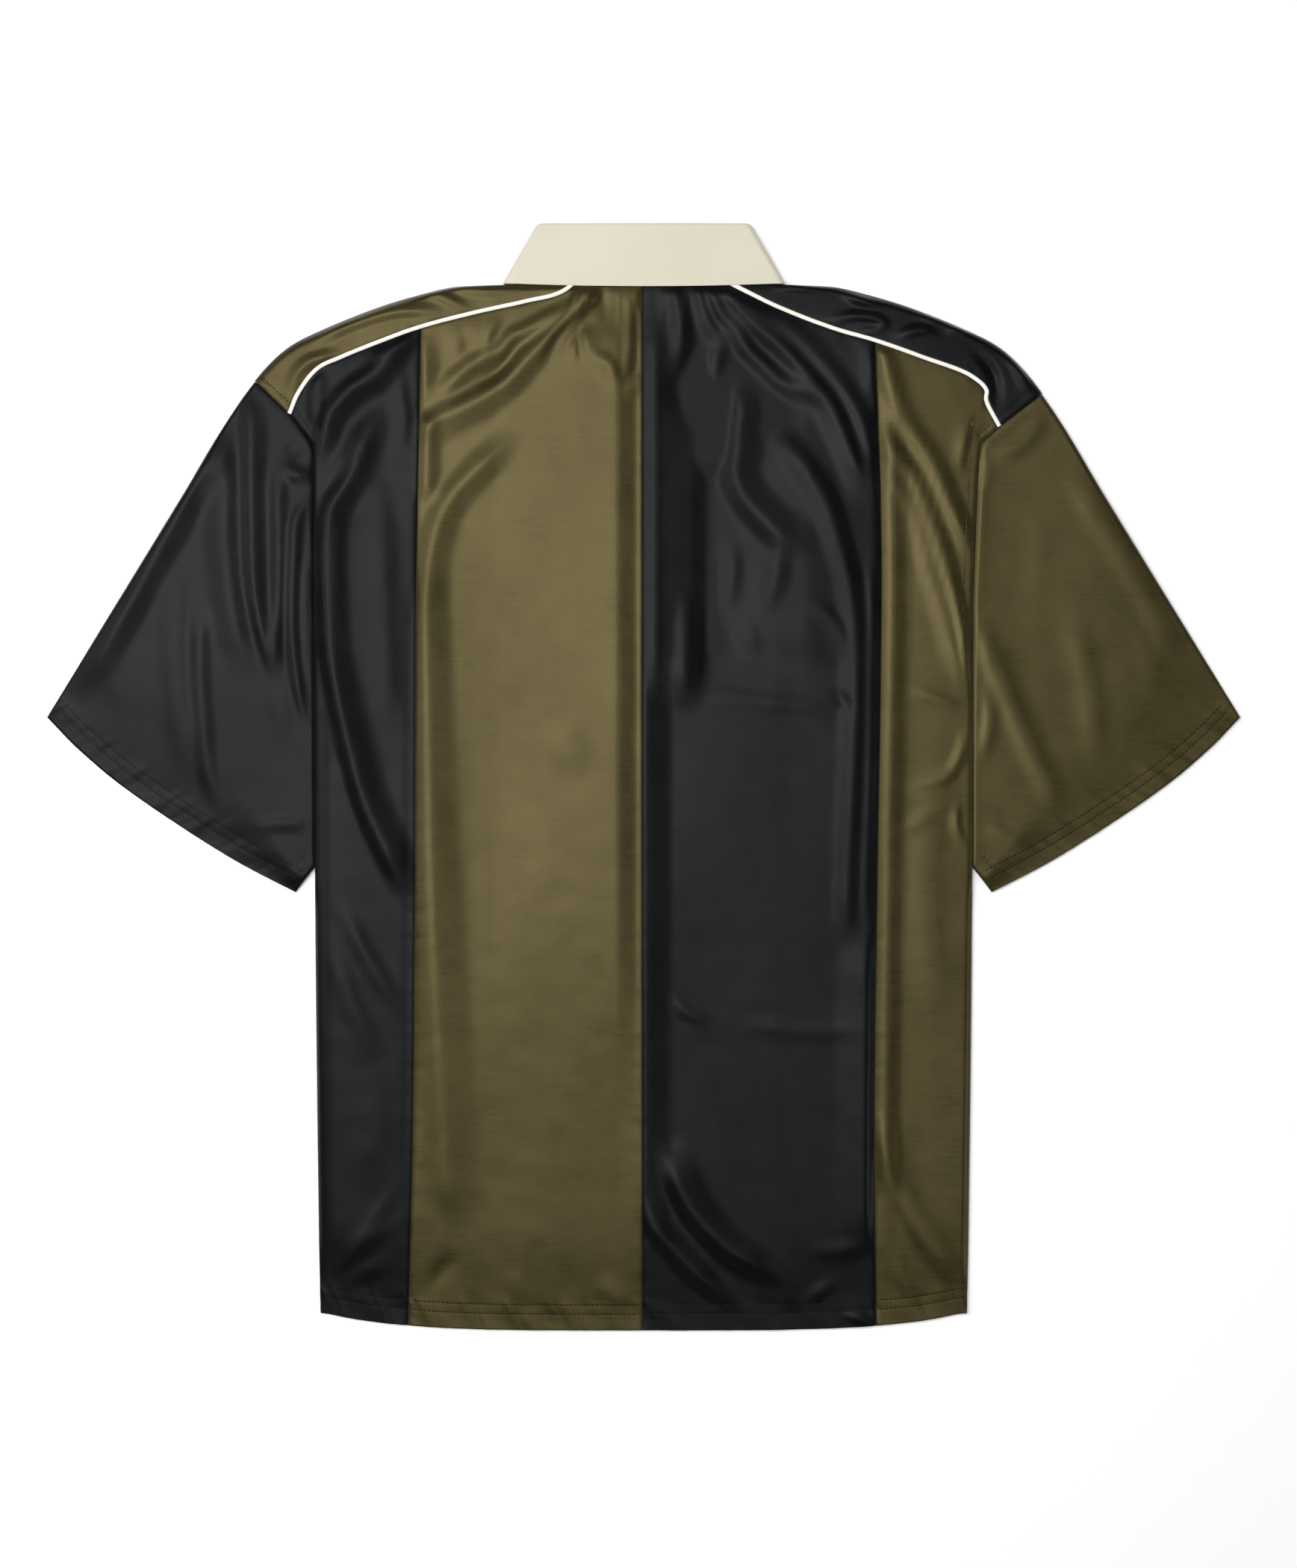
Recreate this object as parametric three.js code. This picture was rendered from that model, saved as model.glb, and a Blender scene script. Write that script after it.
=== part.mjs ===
// Short-sleeved polo shirt, laid out flat on its front with the back up.
// Millimetres: +X to the sleeve at the right, +Y to the collar, +Z up, origin under the middle.
import * as THREE from "three";

const { clamp, lerp } = THREE.MathUtils;

// Driving dimensions
const CLOTH = 1.2; // thickness of the satin
const COLLAR_CLOTH = 1.5; // thickness of the collar
const GAP = 0.3; // between pieces at a seam
const HEM_Y = -376.7;
const HEM_RISE = 12; // how much higher the hem ends at the side folds
const HEM_HALF = 220; // half width at the hem
const COLLAR_TOP_Y = 376.7;
const NECK_Y = 346.5; // neck edge of the back, under the collar's leaf
const NECK_HALF = 38; // where the yoke seams meet the neck edge
const NECK_SIDE = { x: 80, y: 346.2 }; // end of the shoulder edge at the neck
const COLLAR_CORNER_X = 87; // where the shoulder edge turns up under the collar

// Heights of the middle of each cloth
const FRONT_Z = CLOTH / 2;
const BACK_Z = 5;
const SLEEVE_Z = 4.6;
const TUCK_Z = 2.4; // sleeve where the back's side fold lies on it
const LAYER = CLOTH + GAP; // from one cloth's middle to the next
const FRONT_EDGE_Z = FRONT_Z + LAYER + 0.1; // back and shoulder edges over the front
const SLEEVE_EDGE_Z = TUCK_Z + LAYER; // side fold over the sleeve

// Front
const PLACKET_HALF = 16;
const PLACKET_BOTTOM_Y = 150;
const PLACKET_TOP_Y = 291.7;
const PLACKET_LIFT = 2.3;
const WING_LIFT = 1.95;
const BUTTON = { radius: 5.5, thickness: 2, segments: 20 };
const BUTTON_YS = [275, 225, 175];

// Piping
const CORD_RADIUS = 1.5;
const CORD_SEGMENTS = 8;
const CORD_TOP_Y = 333; // it ends at the leaf's edge

const KINK_ROW = 0.952; // share of the back's length where the armhole seam leaves the side fold
const YOKE_SEAM = 5 / 9; // share of the piping's points between the armhole and the side seam
const NECK_COLUMN = 0.75; // share of a centre panel's width where its yoke seam ends

// Edge of the shoulder and of the sleeve's upper fold, from the collar to the sleeve's tip.
const OUTLINE = [
  { x: 94, y: 334.5 },
  { x: 127, y: 333.5 },
  { x: 145, y: 330 },
  { x: 182, y: 319 },
  { x: 228, y: 300 },
  { x: 246, y: 289 },
  { x: 264.5, y: 269.7 },
  { x: 286, y: 239 },
  { x: 313, y: 193.5 },
  { x: 406.4, y: 41.1 },
];

// Sleeve hem, from its lower corner to the tip.
const SLEEVE_HEM = [
  { x: 237, y: -78.2 },
  { x: 275, y: -58.5 },
  { x: 313, y: -35 },
  { x: 357, y: -4.6 },
  { x: 386, y: 20 },
  { x: 406.4, y: 41.1 },
];
const UNDERARM = { x: 215.3, y: -50.1 }; // end of the sleeve's lower fold, under the back

// Each side in its own frame, X measured outwards from the middle of the shirt.
// The piping's rows run from the armhole to the neck, and the sixth is on the side seam.
const LEFT = {
  sign: -1,
  centreX: 0.8,
  kink: { x: 223.5, y: 223.5 },
  corner: { x: 264.5, y: 269.7 },
  piping: [
    { x: 241, y: 247.3 },
    { x: 234.5, y: 262 },
    { x: 222, y: 277.5 },
    { x: 205, y: 285.8 },
    { x: 172, y: 299 },
    { x: 151.5, y: 306.2 },
    { x: 114, y: 316 },
    { x: 80, y: 323.5 },
    { x: 55, y: 330.3 },
    { x: NECK_HALF, y: NECK_Y },
  ],
  seam: [
    { y: -372, x: 160.5 },
    { y: -250, x: 157.5 },
    { y: -100, x: 156 },
    { y: 150, x: 154.5 },
    { y: 306.2, x: 151.5 },
  ],
  edge: [
    { y: -365, x: HEM_HALF },
    { y: -187, x: 222.3 },
    { y: -65, x: 223.3 },
    { y: 223.5, x: 223.5 },
  ],
};
const RIGHT = {
  sign: 1,
  centreX: -0.8,
  kink: { x: 229, y: 226.5 },
  corner: { x: 271, y: 260.8 },
  piping: [
    { x: 242, y: 238.7 },
    { x: 233, y: 256.5 },
    { x: 233, y: 263.5 },
    { x: 222, y: 273.3 },
    { x: 190, y: 285.5 },
    { x: 157.5, y: 297 },
    { x: 130, y: 305 },
    { x: 91, y: 320 },
    { x: 62, y: 334.3 },
    { x: NECK_HALF, y: NECK_Y },
  ],
  seam: [
    { y: -372, x: 158.5 },
    { y: -240, x: 156.8 },
    { y: -60, x: 159 },
    { y: 60, x: 161 },
    { y: 160, x: 161.5 },
    { y: 297, x: 157.5 },
  ],
  edge: [
    { y: -365, x: HEM_HALF },
    { y: -187, x: 222.3 },
    { y: -65, x: 223.3 },
    { y: 110, x: 223.8 },
    { y: 190, x: 226.5 },
    { y: 226.5, x: 229 },
  ],
};

// Cloth rolls beside the long seams: a flat top at the seam, then a slope down on each side.
const ROLLS = [
  { seam: "left", rise: 2.6, bottom: -330, top: 262, flatIn: 5, slopeIn: 13, flatOut: 5, slopeOut: 12 },
  { seam: "centre", rise: 2.4, bottom: -330, top: 318, flatIn: 5, slopeIn: 13, flatOut: 7, slopeOut: 20 },
  { seam: "right", rise: 2.6, bottom: -340, top: 262, flatIn: 6, slopeIn: 11, flatOut: 6, slopeOut: 12 },
];
const ROLL_FADE = 60;

// The largest folds of the back. A fold runs from 0 towards m and ends at 1. Its flanks are so
// wide to the left and right of that run, and it rises, or sinks where rise is negative.
const BACK_FOLDS = [
  { x0: -44, y0: 332, xm: -88, ym: 272, x1: -151, y1: 243, left: 16, right: 10, rise: 4.2 },
  { x0: -92, y0: 232, xm: -128, ym: 205, x1: -148, y1: 150, left: 16, right: 11, rise: 3 },
  { x0: -58, y0: 326, xm: -88, ym: 300, x1: -97, y1: 276, left: 9, right: 9, rise: 2.2 },
  { x0: -20, y0: 334, xm: -22, ym: 300, x1: -12, y1: 262, left: 9, right: 9, rise: 2 },
  { x0: 54, y0: 334, xm: 128, ym: 278, x1: 157, y1: 176, left: 9, right: 9, rise: 4.2 },
  { x0: 40, y0: 334, xm: 112, ym: 270, x1: 158, y1: 140, left: 9, right: 10, rise: 3.2 },
  { x0: 84, y0: 222, xm: 134, ym: 150, x1: 144, y1: 62, left: 9, right: 11, rise: 2.8 },
  { x0: 33, y0: 318, xm: 35, ym: 180, x1: 32, y1: 52, left: 11, right: 11, rise: -1.6 },
  { x0: 62, y0: 270, xm: 58, ym: 230, x1: 50, y1: 190, left: 10, right: 10, rise: 2 },
  { x0: 145, y0: 60, xm: 142, ym: -20, x1: 137, y1: -115, left: 8, right: 9, rise: 2 },
  { x0: 12, y0: -280, xm: 45, ym: -315, x1: 62, y1: -352, left: 11, right: 11, rise: 2.8 },
  { x0: 118, y0: -348, xm: 135, ym: -325, x1: 158, y1: -318, left: 10, right: 10, rise: 2 },
  { x0: -219, y0: 172, xm: -222, ym: 60, x1: -163, y1: -78, left: 14, right: 10, rise: 3.6 },
  { x0: -176, y0: 262, xm: -200, ym: 222, x1: -220, y1: 168, left: 10, right: 10, rise: 3.2 },
  { x0: -165, y0: 302, xm: -192, ym: 275, x1: -214, y1: 232, left: 9, right: 9, rise: 2.6 },
  { x0: -203, y0: -90, xm: -185, ym: -135, x1: -163, y1: -168, left: 10, right: 10, rise: 2.2 },
  { x0: -215, y0: -345, xm: -192, ym: -318, x1: -163, y1: -300, left: 11, right: 11, rise: 2 },
  { x0: 167, y0: 288, xm: 176, ym: 235, x1: 224, y1: 150, left: 9, right: 8, rise: -2 },
  { x0: 162, y0: 228, xm: 205, ym: 170, x1: 218, y1: 52, left: 9, right: 10, rise: 3 },
  { x0: 178, y0: -2, xm: 212, ym: 0, x1: 218, y1: 38, left: 9, right: 9, rise: 2 },
  { x0: 175, y0: -270, xm: 190, ym: -310, x1: 216, y1: -348, left: 11, right: 11, rise: 2 },
  { x0: -205, y0: 305, xm: -165, ym: 321, x1: -124, y1: 320, left: 8, right: 8, rise: 2 },
  { x0: 165, y0: 312, xm: 195, ym: 308, x1: 228, y1: 290, left: 8, right: 8, rise: 2 },
];
const SLEEVE_FOLDS = [
  { x0: -284, y0: 218, xm: -330, ym: 145, x1: -380, y1: 56, left: 12, right: 12, rise: -1.6 },
  { x0: -271, y0: 262, xm: -268, ym: 180, x1: -262, y1: 90, left: 10, right: 9, rise: 3 },
  { x0: -254, y0: 210, xm: -258, ym: 140, x1: -248, y1: 45, left: 9, right: 9, rise: 2.4 },
  { x0: -306, y0: 152, xm: -302, ym: 60, x1: -292, y1: -25, left: 10, right: 10, rise: 2.4 },
  { x0: 238, y0: 98, xm: 254, ym: 50, x1: 286, y1: -22, left: 12, right: 12, rise: 2.8 },
  { x0: 296, y0: 108, xm: 312, ym: 52, x1: 306, y1: 0, left: 12, right: 12, rise: 2 },
  { x0: 234, y0: 222, xm: 256, ym: 226, x1: 274, y1: 254, left: 9, right: 10, rise: 2 },
];
const FOLD_STEPS = 12;
const FOLD_CALM = 9; // folds die out so near to the piping and the leaf

// Front half of the collar, from its side fold (g 0) to the centre front (g 1): free edge of the
// leaf, fold, and the stand's neck edge.
const COLLAR_FRONT = [
  { g: 0, edgeX: 91.75, edgeY: 335.6, foldX: 69.2, foldY: 374.6, standX: 84.5, standY: 346.8 },
  { g: 0.25, edgeX: 87, edgeY: 318, foldX: 66, foldY: 362, standX: 80, standY: 330 },
  { g: 0.5, edgeX: 80, edgeY: 300, foldX: 54, foldY: 344, standX: 66, standY: 313 },
  { g: 0.75, edgeX: 72, edgeY: 281, foldX: 34, foldY: 326, standX: 42, standY: 299.4 },
  { g: 1, edgeX: 62, edgeY: 262, foldX: 5, foldY: 313, standX: 5, standY: 292.6 },
];
// The collar's lines where it turns round its side folds: half width reached, how far that
// bulges past the straight run, and heights behind and in front.
const COLLAR_LINES = {
  edge: { half: 95.25, bulge: 3.5, back: 7.4, front: COLLAR_CLOTH / 2 },
  leafFold: { half: 72.95, bulge: 3.5, back: 8.6, front: COLLAR_CLOTH / 2 },
  standFold: { half: 70.25, bulge: 1.2, back: BACK_Z, front: 2.7 },
  stand: { half: 85.7, bulge: 1.2, back: BACK_Z, front: 2.7 },
};
const LEAF_EDGE_Y = 333.8; // at the centre back
const LEAF_EDGE_RISE = 1.8; // at the side folds
const LEAF_CROWN = 0.8;

const COLOURS = {
  olive: 0x76684a,
  black: 0x323335,
  ecru: 0xded8c4,
  white: 0xf1eee4,
  horn: 0x2b2a28,
};

// Numbers from a to b in n equal steps, b left out.
function steps(a, b, n) {
  return Array.from({ length: n }, (_, i) => lerp(a, b, i / n));
}

// 0 below 0, 1 above 1, smooth between.
function smooth(t) {
  const c = clamp(t, 0, 1);
  return c * c * (3 - 2 * c);
}

// A smooth function through a table's rows, from one named column to another.
function curveOf(rows, from, to) {
  const slopes = rows.map((row, i) => {
    const before = rows[Math.max(i - 1, 0)];
    const after = rows[Math.min(i + 1, rows.length - 1)];
    return (after[to] - before[to]) / (after[from] - before[from]);
  });
  return (value) => {
    let i = 0;
    while (i < rows.length - 2 && value > rows[i + 1][from]) i++;
    const span = rows[i + 1][from] - rows[i][from];
    const t = clamp((value - rows[i][from]) / span, 0, 1);
    const rise = t * t * (3 - 2 * t);
    const leave = t * (1 - t) * (1 - t) * span;
    const arrive = t * t * (t - 1) * span;
    return lerp(rows[i][to], rows[i + 1][to], rise) + slopes[i] * leave + slopes[i + 1] * arrive;
  };
}

// A point along straight legs, where at gives each leg's end as a share of the whole.
function alongLegs(legs, share) {
  let i = 1;
  while (i < legs.length - 1 && share > legs[i].at) i++;
  const t = clamp((share - legs[i - 1].at) / (legs[i].at - legs[i - 1].at), 0, 1);
  return { x: lerp(legs[i - 1].x, legs[i].x, t), y: lerp(legs[i - 1].y, legs[i].y, t) };
}

// The surface spanned by four edges that meet at their ends. The larger topPower is, the nearer
// to the top edge its bends die out.
function patch(bottom, top, left, right, topPower = 1) {
  const [a, b, c, d] = [bottom(0), bottom(1), top(0), top(1)];
  return (u, v) => {
    const blend = (k) => {
      const [low, high] = [lerp(a[k], b[k], u), lerp(c[k], d[k], u)];
      const ends = (bottom(u)[k] - low) * (1 - v) + (top(u)[k] - high) * v ** topPower;
      const sides = lerp(left(v)[k] - lerp(a[k], c[k], v), right(v)[k] - lerp(b[k], d[k], v), u);
      return lerp(low, high, v) + ends + sides;
    };
    return { x: blend("x"), y: blend("y") };
  };
}

const outlineY = curveOf(OUTLINE, "x", "y");
const hemY = (x) => HEM_Y + HEM_RISE * (x / HEM_HALF) ** 4;

for (const side of [LEFT, RIGHT]) {
  side.seamX = curveOf(side.seam, "y", "x");
  side.edgeX = curveOf(side.edge, "y", "x");
  side.pipingY = curveOf([...side.piping].reverse(), "x", "y");
  const points = side.piping.map(({ x, y }) => new THREE.Vector3(x, y, 0));
  side.pipingCurve = new THREE.CatmullRomCurve3(points);
}

// Heights

// Height that one fold adds at a point.
function foldRise(fold, x, y) {
  const reach = Math.max(fold.left, fold.right);
  const xs = [fold.x0, fold.xm, fold.x1];
  const ys = [fold.y0, fold.ym, fold.y1];
  if (x < Math.min(...xs) - reach || x > Math.max(...xs) + reach) return 0;
  if (y < Math.min(...ys) - reach || y > Math.max(...ys) + reach) return 0;
  const at = (t, [a, b, c]) => lerp(lerp(a, b, t), lerp(b, c, t), t);
  let nearest = { distance: Infinity };
  for (let i = 0; i < FOLD_STEPS; i++) {
    const [ax, ay] = [at(i / FOLD_STEPS, xs), at(i / FOLD_STEPS, ys)];
    const [bx, by] = [at((i + 1) / FOLD_STEPS, xs), at((i + 1) / FOLD_STEPS, ys)];
    const [dx, dy] = [bx - ax, by - ay];
    const t = clamp(((x - ax) * dx + (y - ay) * dy) / (dx * dx + dy * dy), 0, 1);
    const distance = Math.hypot(x - ax - t * dx, y - ay - t * dy);
    if (distance < nearest.distance) {
      nearest = { distance, run: (i + t) / FOLD_STEPS, turn: dx * (y - ay) - dy * (x - ax) };
    }
  }
  const share = nearest.distance / (nearest.turn > 0 ? fold.left : fold.right);
  if (share >= 1) return 0;
  return fold.rise * (1 - share * share) ** 2 * Math.sqrt(Math.sin(Math.PI * nearest.run));
}

const foldsRise = (folds, x, y) => folds.reduce((sum, fold) => sum + foldRise(fold, x, y), 0);

// Height that the rolls beside the long seams add.
function rollsRise(x, y) {
  const seamX = { left: -LEFT.seamX(y), centre: LEFT.sign * LEFT.centreX, right: RIGHT.seamX(y) };
  return ROLLS.reduce((sum, roll) => {
    const out = roll.seam === "left" ? seamX.left - x : x - seamX[roll.seam];
    const flat = out > 0 ? roll.flatOut : roll.flatIn;
    const slope = out > 0 ? roll.slopeOut : roll.slopeIn;
    const across = 1 - smooth((Math.abs(out) - flat) / slope);
    const along = smooth((y - roll.bottom) / ROLL_FADE) * smooth((roll.top - y) / ROLL_FADE);
    return sum + roll.rise * across * along;
  }, 0);
}

// Middle of the front cloth: on the floor, but over the collar's wings and the placket's buttons.
function frontHeight(x, y) {
  const half = Math.abs(x);
  const overWings = smooth((y - 200) / 20) * smooth((118 - half) / 16);
  const overButtons = smooth((PLACKET_HALF + 25 - half) / 23) * smooth((y - 110) / 38);
  return FRONT_Z + Math.max(WING_LIFT * overWings, PLACKET_LIFT * overButtons);
}

// Middle of the back cloth.
function backHeight(side, x, y) {
  const worldX = side.sign * x;
  const toHem = 1 - smooth((y - hemY(x)) / 30);
  const calmPiping = x > NECK_HALF ? smooth(Math.abs(y - side.pipingY(x)) / FOLD_CALM) : 1;
  const calmNeck = smooth((LEAF_EDGE_Y - 1 - y) / FOLD_CALM);
  const folds = foldsRise(BACK_FOLDS, worldX, y) * calmPiping * calmNeck;
  const open = lerp(BACK_Z, FRONT_EDGE_Z, toHem) + folds + rollsRise(worldX, y) * calmNeck;
  return Math.max(open, frontHeight(x, y) + LAYER + 0.1);
}

// Middle of the sleeve's back layer.
function sleeveHeight(side, x, y) {
  const out = x - side.edgeX(clamp(y, side.edge[0].y, side.kink.y));
  const tucked = (1 - smooth(out / 24)) * (1 - smooth((y - side.kink.y) / 22));
  const toSeam = Math.abs(y - side.kink.y - (x - side.kink.x)) / 2;
  const calm = smooth(out / 12) * smooth(toSeam / FOLD_CALM);
  const open = SLEEVE_Z + foldsRise(SLEEVE_FOLDS, side.sign * x, y) * calm;
  return lerp(Math.max(open, FRONT_EDGE_Z), TUCK_Z, tucked);
}

// Rises from 0 at an edge to 1, steepest at the edge.
const arch = (share) => 1 - (1 - clamp(share, 0, 1)) ** 2.2;
const EDGE_ROUND = 8;

// Solids

// A closed solid from its points and triangles.
function solid(points, triangles) {
  const geometry = new THREE.BufferGeometry().setFromPoints(points);
  geometry.setIndex(triangles.flat());
  geometry.computeVertexNormals();
  return geometry;
}

// A cloth wall about a surface, sampled at us across and vs along. Where closed, the wall is a
// tube round u and us leaves out its end.
function clothWall(surface, us, vs, thickness, closed = false) {
  const DELTA = 1e-4;
  const at = (u, v) => surface(closed ? (u + 1) % 1 : clamp(u, 0, 1), clamp(v, 0, 1));
  const upper = [];
  const lower = [];
  for (const u of us) {
    for (const v of vs) {
      const across = at(u + DELTA, v).sub(at(u - DELTA, v));
      const along = at(u, v + DELTA).sub(at(u, v - DELTA));
      const offset = across.cross(along).setLength(thickness / 2);
      upper.push(at(u, v).add(offset));
      lower.push(at(u, v).sub(offset));
    }
  }
  const rows = vs.length;
  const count = us.length * rows;
  const top = (i, j) => (i % us.length) * rows + j;
  const under = (i, j) => top(i, j) + count;
  const triangles = [];
  const quad = (a, b, c, d) => triangles.push([a, b, c], [a, c, d]);
  const last = closed ? us.length : us.length - 1;
  for (let i = 0; i < last; i++) {
    for (let j = 0; j < rows - 1; j++) {
      quad(top(i, j), top(i + 1, j), top(i + 1, j + 1), top(i, j + 1));
      quad(under(i, j), under(i, j + 1), under(i + 1, j + 1), under(i + 1, j));
    }
    quad(top(i, 0), under(i, 0), under(i + 1, 0), top(i + 1, 0));
    quad(top(i, rows - 1), top(i + 1, rows - 1), under(i + 1, rows - 1), under(i, rows - 1));
  }
  if (!closed) {
    for (let j = 0; j < rows - 1; j++) {
      quad(top(0, j), top(0, j + 1), under(0, j + 1), under(0, j));
      quad(top(last, j), under(last, j), under(last, j + 1), top(last, j + 1));
    }
  }
  return solid([...upper, ...lower], triangles);
}

// A point at a piece's own place, turned to the shirt's frame.
const place = (side, { x, y }, z) => new THREE.Vector3(side.sign * x, y, z);

// Back panels

const BACK_ROWS = [
  ...steps(0, 0.06, 3),
  ...steps(0.06, 0.64, 10),
  ...steps(0.64, KINK_ROW, 10),
  KINK_ROW,
  0.976,
  1,
];
// Columns of the panels, in mm from the long seam, denser where the cloth rolls and turns.
const CENTRE_WIDTH = 150;
const CENTRE_MARKS = [0, 4, 9, 15, 23, 36, 52, 70, 88, 102, 112.5, 124, 134, 141, 146, CENTRE_WIDTH];
const CENTRE_COLUMNS = CENTRE_MARKS.map((mark) => mark / CENTRE_WIDTH);
const SIDE_WIDTH = 70;
const SIDE_MARKS = [0, 5, 10, 18, 27, 37, 47, 56, 62, 66, 68.5, SIDE_WIDTH];
const SIDE_COLUMNS = SIDE_MARKS.map((mark) => mark / SIDE_WIDTH);
const PIPING_HALF_GAP = 0.2;

// A point of the yoke seam, moved towards the shoulder or, where toward is negative, the hem.
function yokeSeam(side, share, toward) {
  const { x, y } = side.pipingCurve.getPoint(share);
  const run = side.pipingCurve.getTangent(share);
  return { x: x - run.y * -PIPING_HALF_GAP * toward, y: y + run.x * -PIPING_HALF_GAP * toward };
}

// The side fold, then from the kink the armhole seam.
function sideEdge(side, v) {
  const hemCorner = side.edge[0].y;
  if (v <= KINK_ROW) {
    const y = lerp(hemCorner, side.kink.y, v / KINK_ROW);
    return { x: side.edgeX(y), y };
  }
  const t = (v - KINK_ROW) / (1 - KINK_ROW);
  const end = yokeSeam(side, 0, -1);
  return { x: lerp(side.kink.x, end.x, t), y: lerp(side.kink.y, end.y, t) };
}

function seamLine(side, v, offset) {
  const top = yokeSeam(side, YOKE_SEAM, -1);
  const y = lerp(hemY(side.seam[0].x), top.y, v);
  const atTop = side.seamX(top.y) - top.x;
  return { x: side.seamX(y) + offset - atTop * v ** 8, y };
}

function centrePanel(side) {
  const outer = (v) => seamLine(side, v, -GAP / 2);
  const innerX = side.centreX + GAP / 2;
  const inner = (v) => ({ x: innerX, y: lerp(hemY(innerX), NECK_Y, v) });
  const [hemFrom, seamTop] = [outer(0), outer(1)];
  const neckFrom = yokeSeam(side, 1, -1);
  const bottom = (u) => {
    const x = lerp(hemFrom.x, innerX, u);
    return { x, y: hemY(x) };
  };
  const top = (u) => {
    if (u > NECK_COLUMN) {
      const t = (u - NECK_COLUMN) / (1 - NECK_COLUMN);
      return { x: lerp(neckFrom.x, innerX, t), y: lerp(neckFrom.y, NECK_Y, t) };
    }
    const t = u / NECK_COLUMN;
    const point = yokeSeam(side, lerp(YOKE_SEAM, 1, t), -1);
    return { x: point.x + (seamTop.x - yokeSeam(side, YOKE_SEAM, -1).x) * (1 - t) ** 8, y: point.y };
  };
  const plan = patch(bottom, top, outer, inner);
  const surface = (u, v) => {
    const point = plan(u, v);
    return place(side, point, backHeight(side, point.x, point.y));
  };
  return clothWall(surface, CENTRE_COLUMNS, BACK_ROWS, CLOTH);
}

function sidePanel(side) {
  const inner = (v) => seamLine(side, v, GAP / 2);
  const edge = (v) => sideEdge(side, v);
  const [seamHem, seamTop] = [inner(0), inner(1)];
  const bottom = (u) => {
    const x = lerp(seamHem.x, HEM_HALF, u);
    return { x, y: lerp(hemY(x), edge(0).y, u ** 8) };
  };
  const top = (u) => {
    const point = yokeSeam(side, YOKE_SEAM * (1 - u), -1);
    return { x: point.x + (seamTop.x - yokeSeam(side, YOKE_SEAM, -1).x) * (1 - u) ** 8, y: point.y };
  };
  const plan = patch(bottom, top, inner, edge);
  const surface = (u, v) => {
    const point = plan(u, v);
    const rim = edge(v);
    const overSleeve = smooth((rim.y + 100) / 34);
    const alongArmhole = clamp((v - KINK_ROW) / (1 - KINK_ROW), 0, 1);
    const rimZ = lerp(lerp(FRONT_EDGE_Z, SLEEVE_EDGE_Z, overSleeve), BACK_Z, alongArmhole);
    const inside = Math.hypot(point.x - rim.x, point.y - rim.y) / EDGE_ROUND;
    const open = Math.max(backHeight(side, point.x, point.y), rimZ);
    return place(side, point, lerp(rimZ, open, arch(inside)));
  };
  return clothWall(surface, SIDE_COLUMNS, BACK_ROWS, CLOTH);
}

// Yoke: its columns are those of the side and centre panels that it is sewn to.
const YOKE_COLUMNS = [
  ...[...SIDE_COLUMNS].reverse().map((u) => YOKE_SEAM * (1 - u)),
  ...CENTRE_COLUMNS.slice(1)
    .filter((u) => u <= NECK_COLUMN)
    .map((u) => lerp(YOKE_SEAM, 1, u / NECK_COLUMN)),
];
const YOKE_ROWS = [0, 0.22, 0.48, 0.72, 0.88, 0.96, 1];

function shoulderEdge(side, share, inset) {
  const x = lerp(side.corner.x - inset, NECK_SIDE.x, share);
  const underLeaf = (COLLAR_CORNER_X - x) / (COLLAR_CORNER_X - NECK_SIDE.x);
  const rise = (NECK_SIDE.y - outlineY(COLLAR_CORNER_X)) * Math.max(underLeaf, 0);
  return { x, y: outlineY(Math.max(x, COLLAR_CORNER_X)) + rise - inset };
}

function yoke(side) {
  const seam = (u) => yokeSeam(side, u, 1);
  const shoulder = (u) => shoulderEdge(side, u, 0);
  const leg = (from, to) => (v) => ({ x: lerp(from.x, to.x, v), y: lerp(from.y, to.y, v) });
  const plan = patch(seam, shoulder, leg(seam(0), shoulder(0)), leg(seam(1), shoulder(1)));
  const surface = (u, v) => {
    const point = plan(u, v);
    const rim = shoulder(u);
    const rimZ = frontHeight(rim.x, rim.y) + LAYER + 0.15;
    const inside = Math.hypot(point.x - rim.x, point.y - rim.y) / EDGE_ROUND;
    const open = Math.max(backHeight(side, point.x, point.y), rimZ);
    return place(side, point, lerp(rimZ, open, arch(inside)));
  };
  return clothWall(surface, YOKE_COLUMNS, YOKE_ROWS, CLOTH);
}

// Piping: a round cord that lies on the yoke seam.
function piping(side) {
  const shares = YOKE_COLUMNS.filter((t) => side.pipingCurve.getPoint(t).y < CORD_TOP_Y);
  const points = [];
  for (const share of shares) {
    const { x, y } = side.pipingCurve.getPoint(share);
    const run = side.pipingCurve.getTangent(share);
    const height = backHeight(side, x, y) + CLOTH / 2 + GAP + CORD_RADIUS;
    for (let k = 0; k < CORD_SEGMENTS; k++) {
      const angle = ((k + 0.5) / CORD_SEGMENTS) * 2 * Math.PI;
      const out = CORD_RADIUS * Math.cos(angle);
      const point = { x: x - run.y * out, y: y + run.x * out };
      points.push(place(side, point, height + CORD_RADIUS * Math.sin(angle)));
    }
  }
  const at = (i, k) => i * CORD_SEGMENTS + (k % CORD_SEGMENTS);
  const last = shares.length - 1;
  const triangles = [];
  for (let k = 0; k < CORD_SEGMENTS; k++) {
    for (let i = 0; i < last; i++) {
      triangles.push([at(i, k), at(i + 1, k + 1), at(i, k + 1)]);
      triangles.push([at(i, k), at(i + 1, k), at(i + 1, k + 1)]);
    }
    if (k > 0 && k < CORD_SEGMENTS - 1) {
      triangles.push([at(0, 0), at(0, k), at(0, k + 1)]);
      triangles.push([at(last, 0), at(last, k + 1), at(last, k)]);
    }
  }
  if (side.sign > 0) triangles.forEach((triangle) => triangle.reverse());
  return solid(points, triangles);
}

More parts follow.
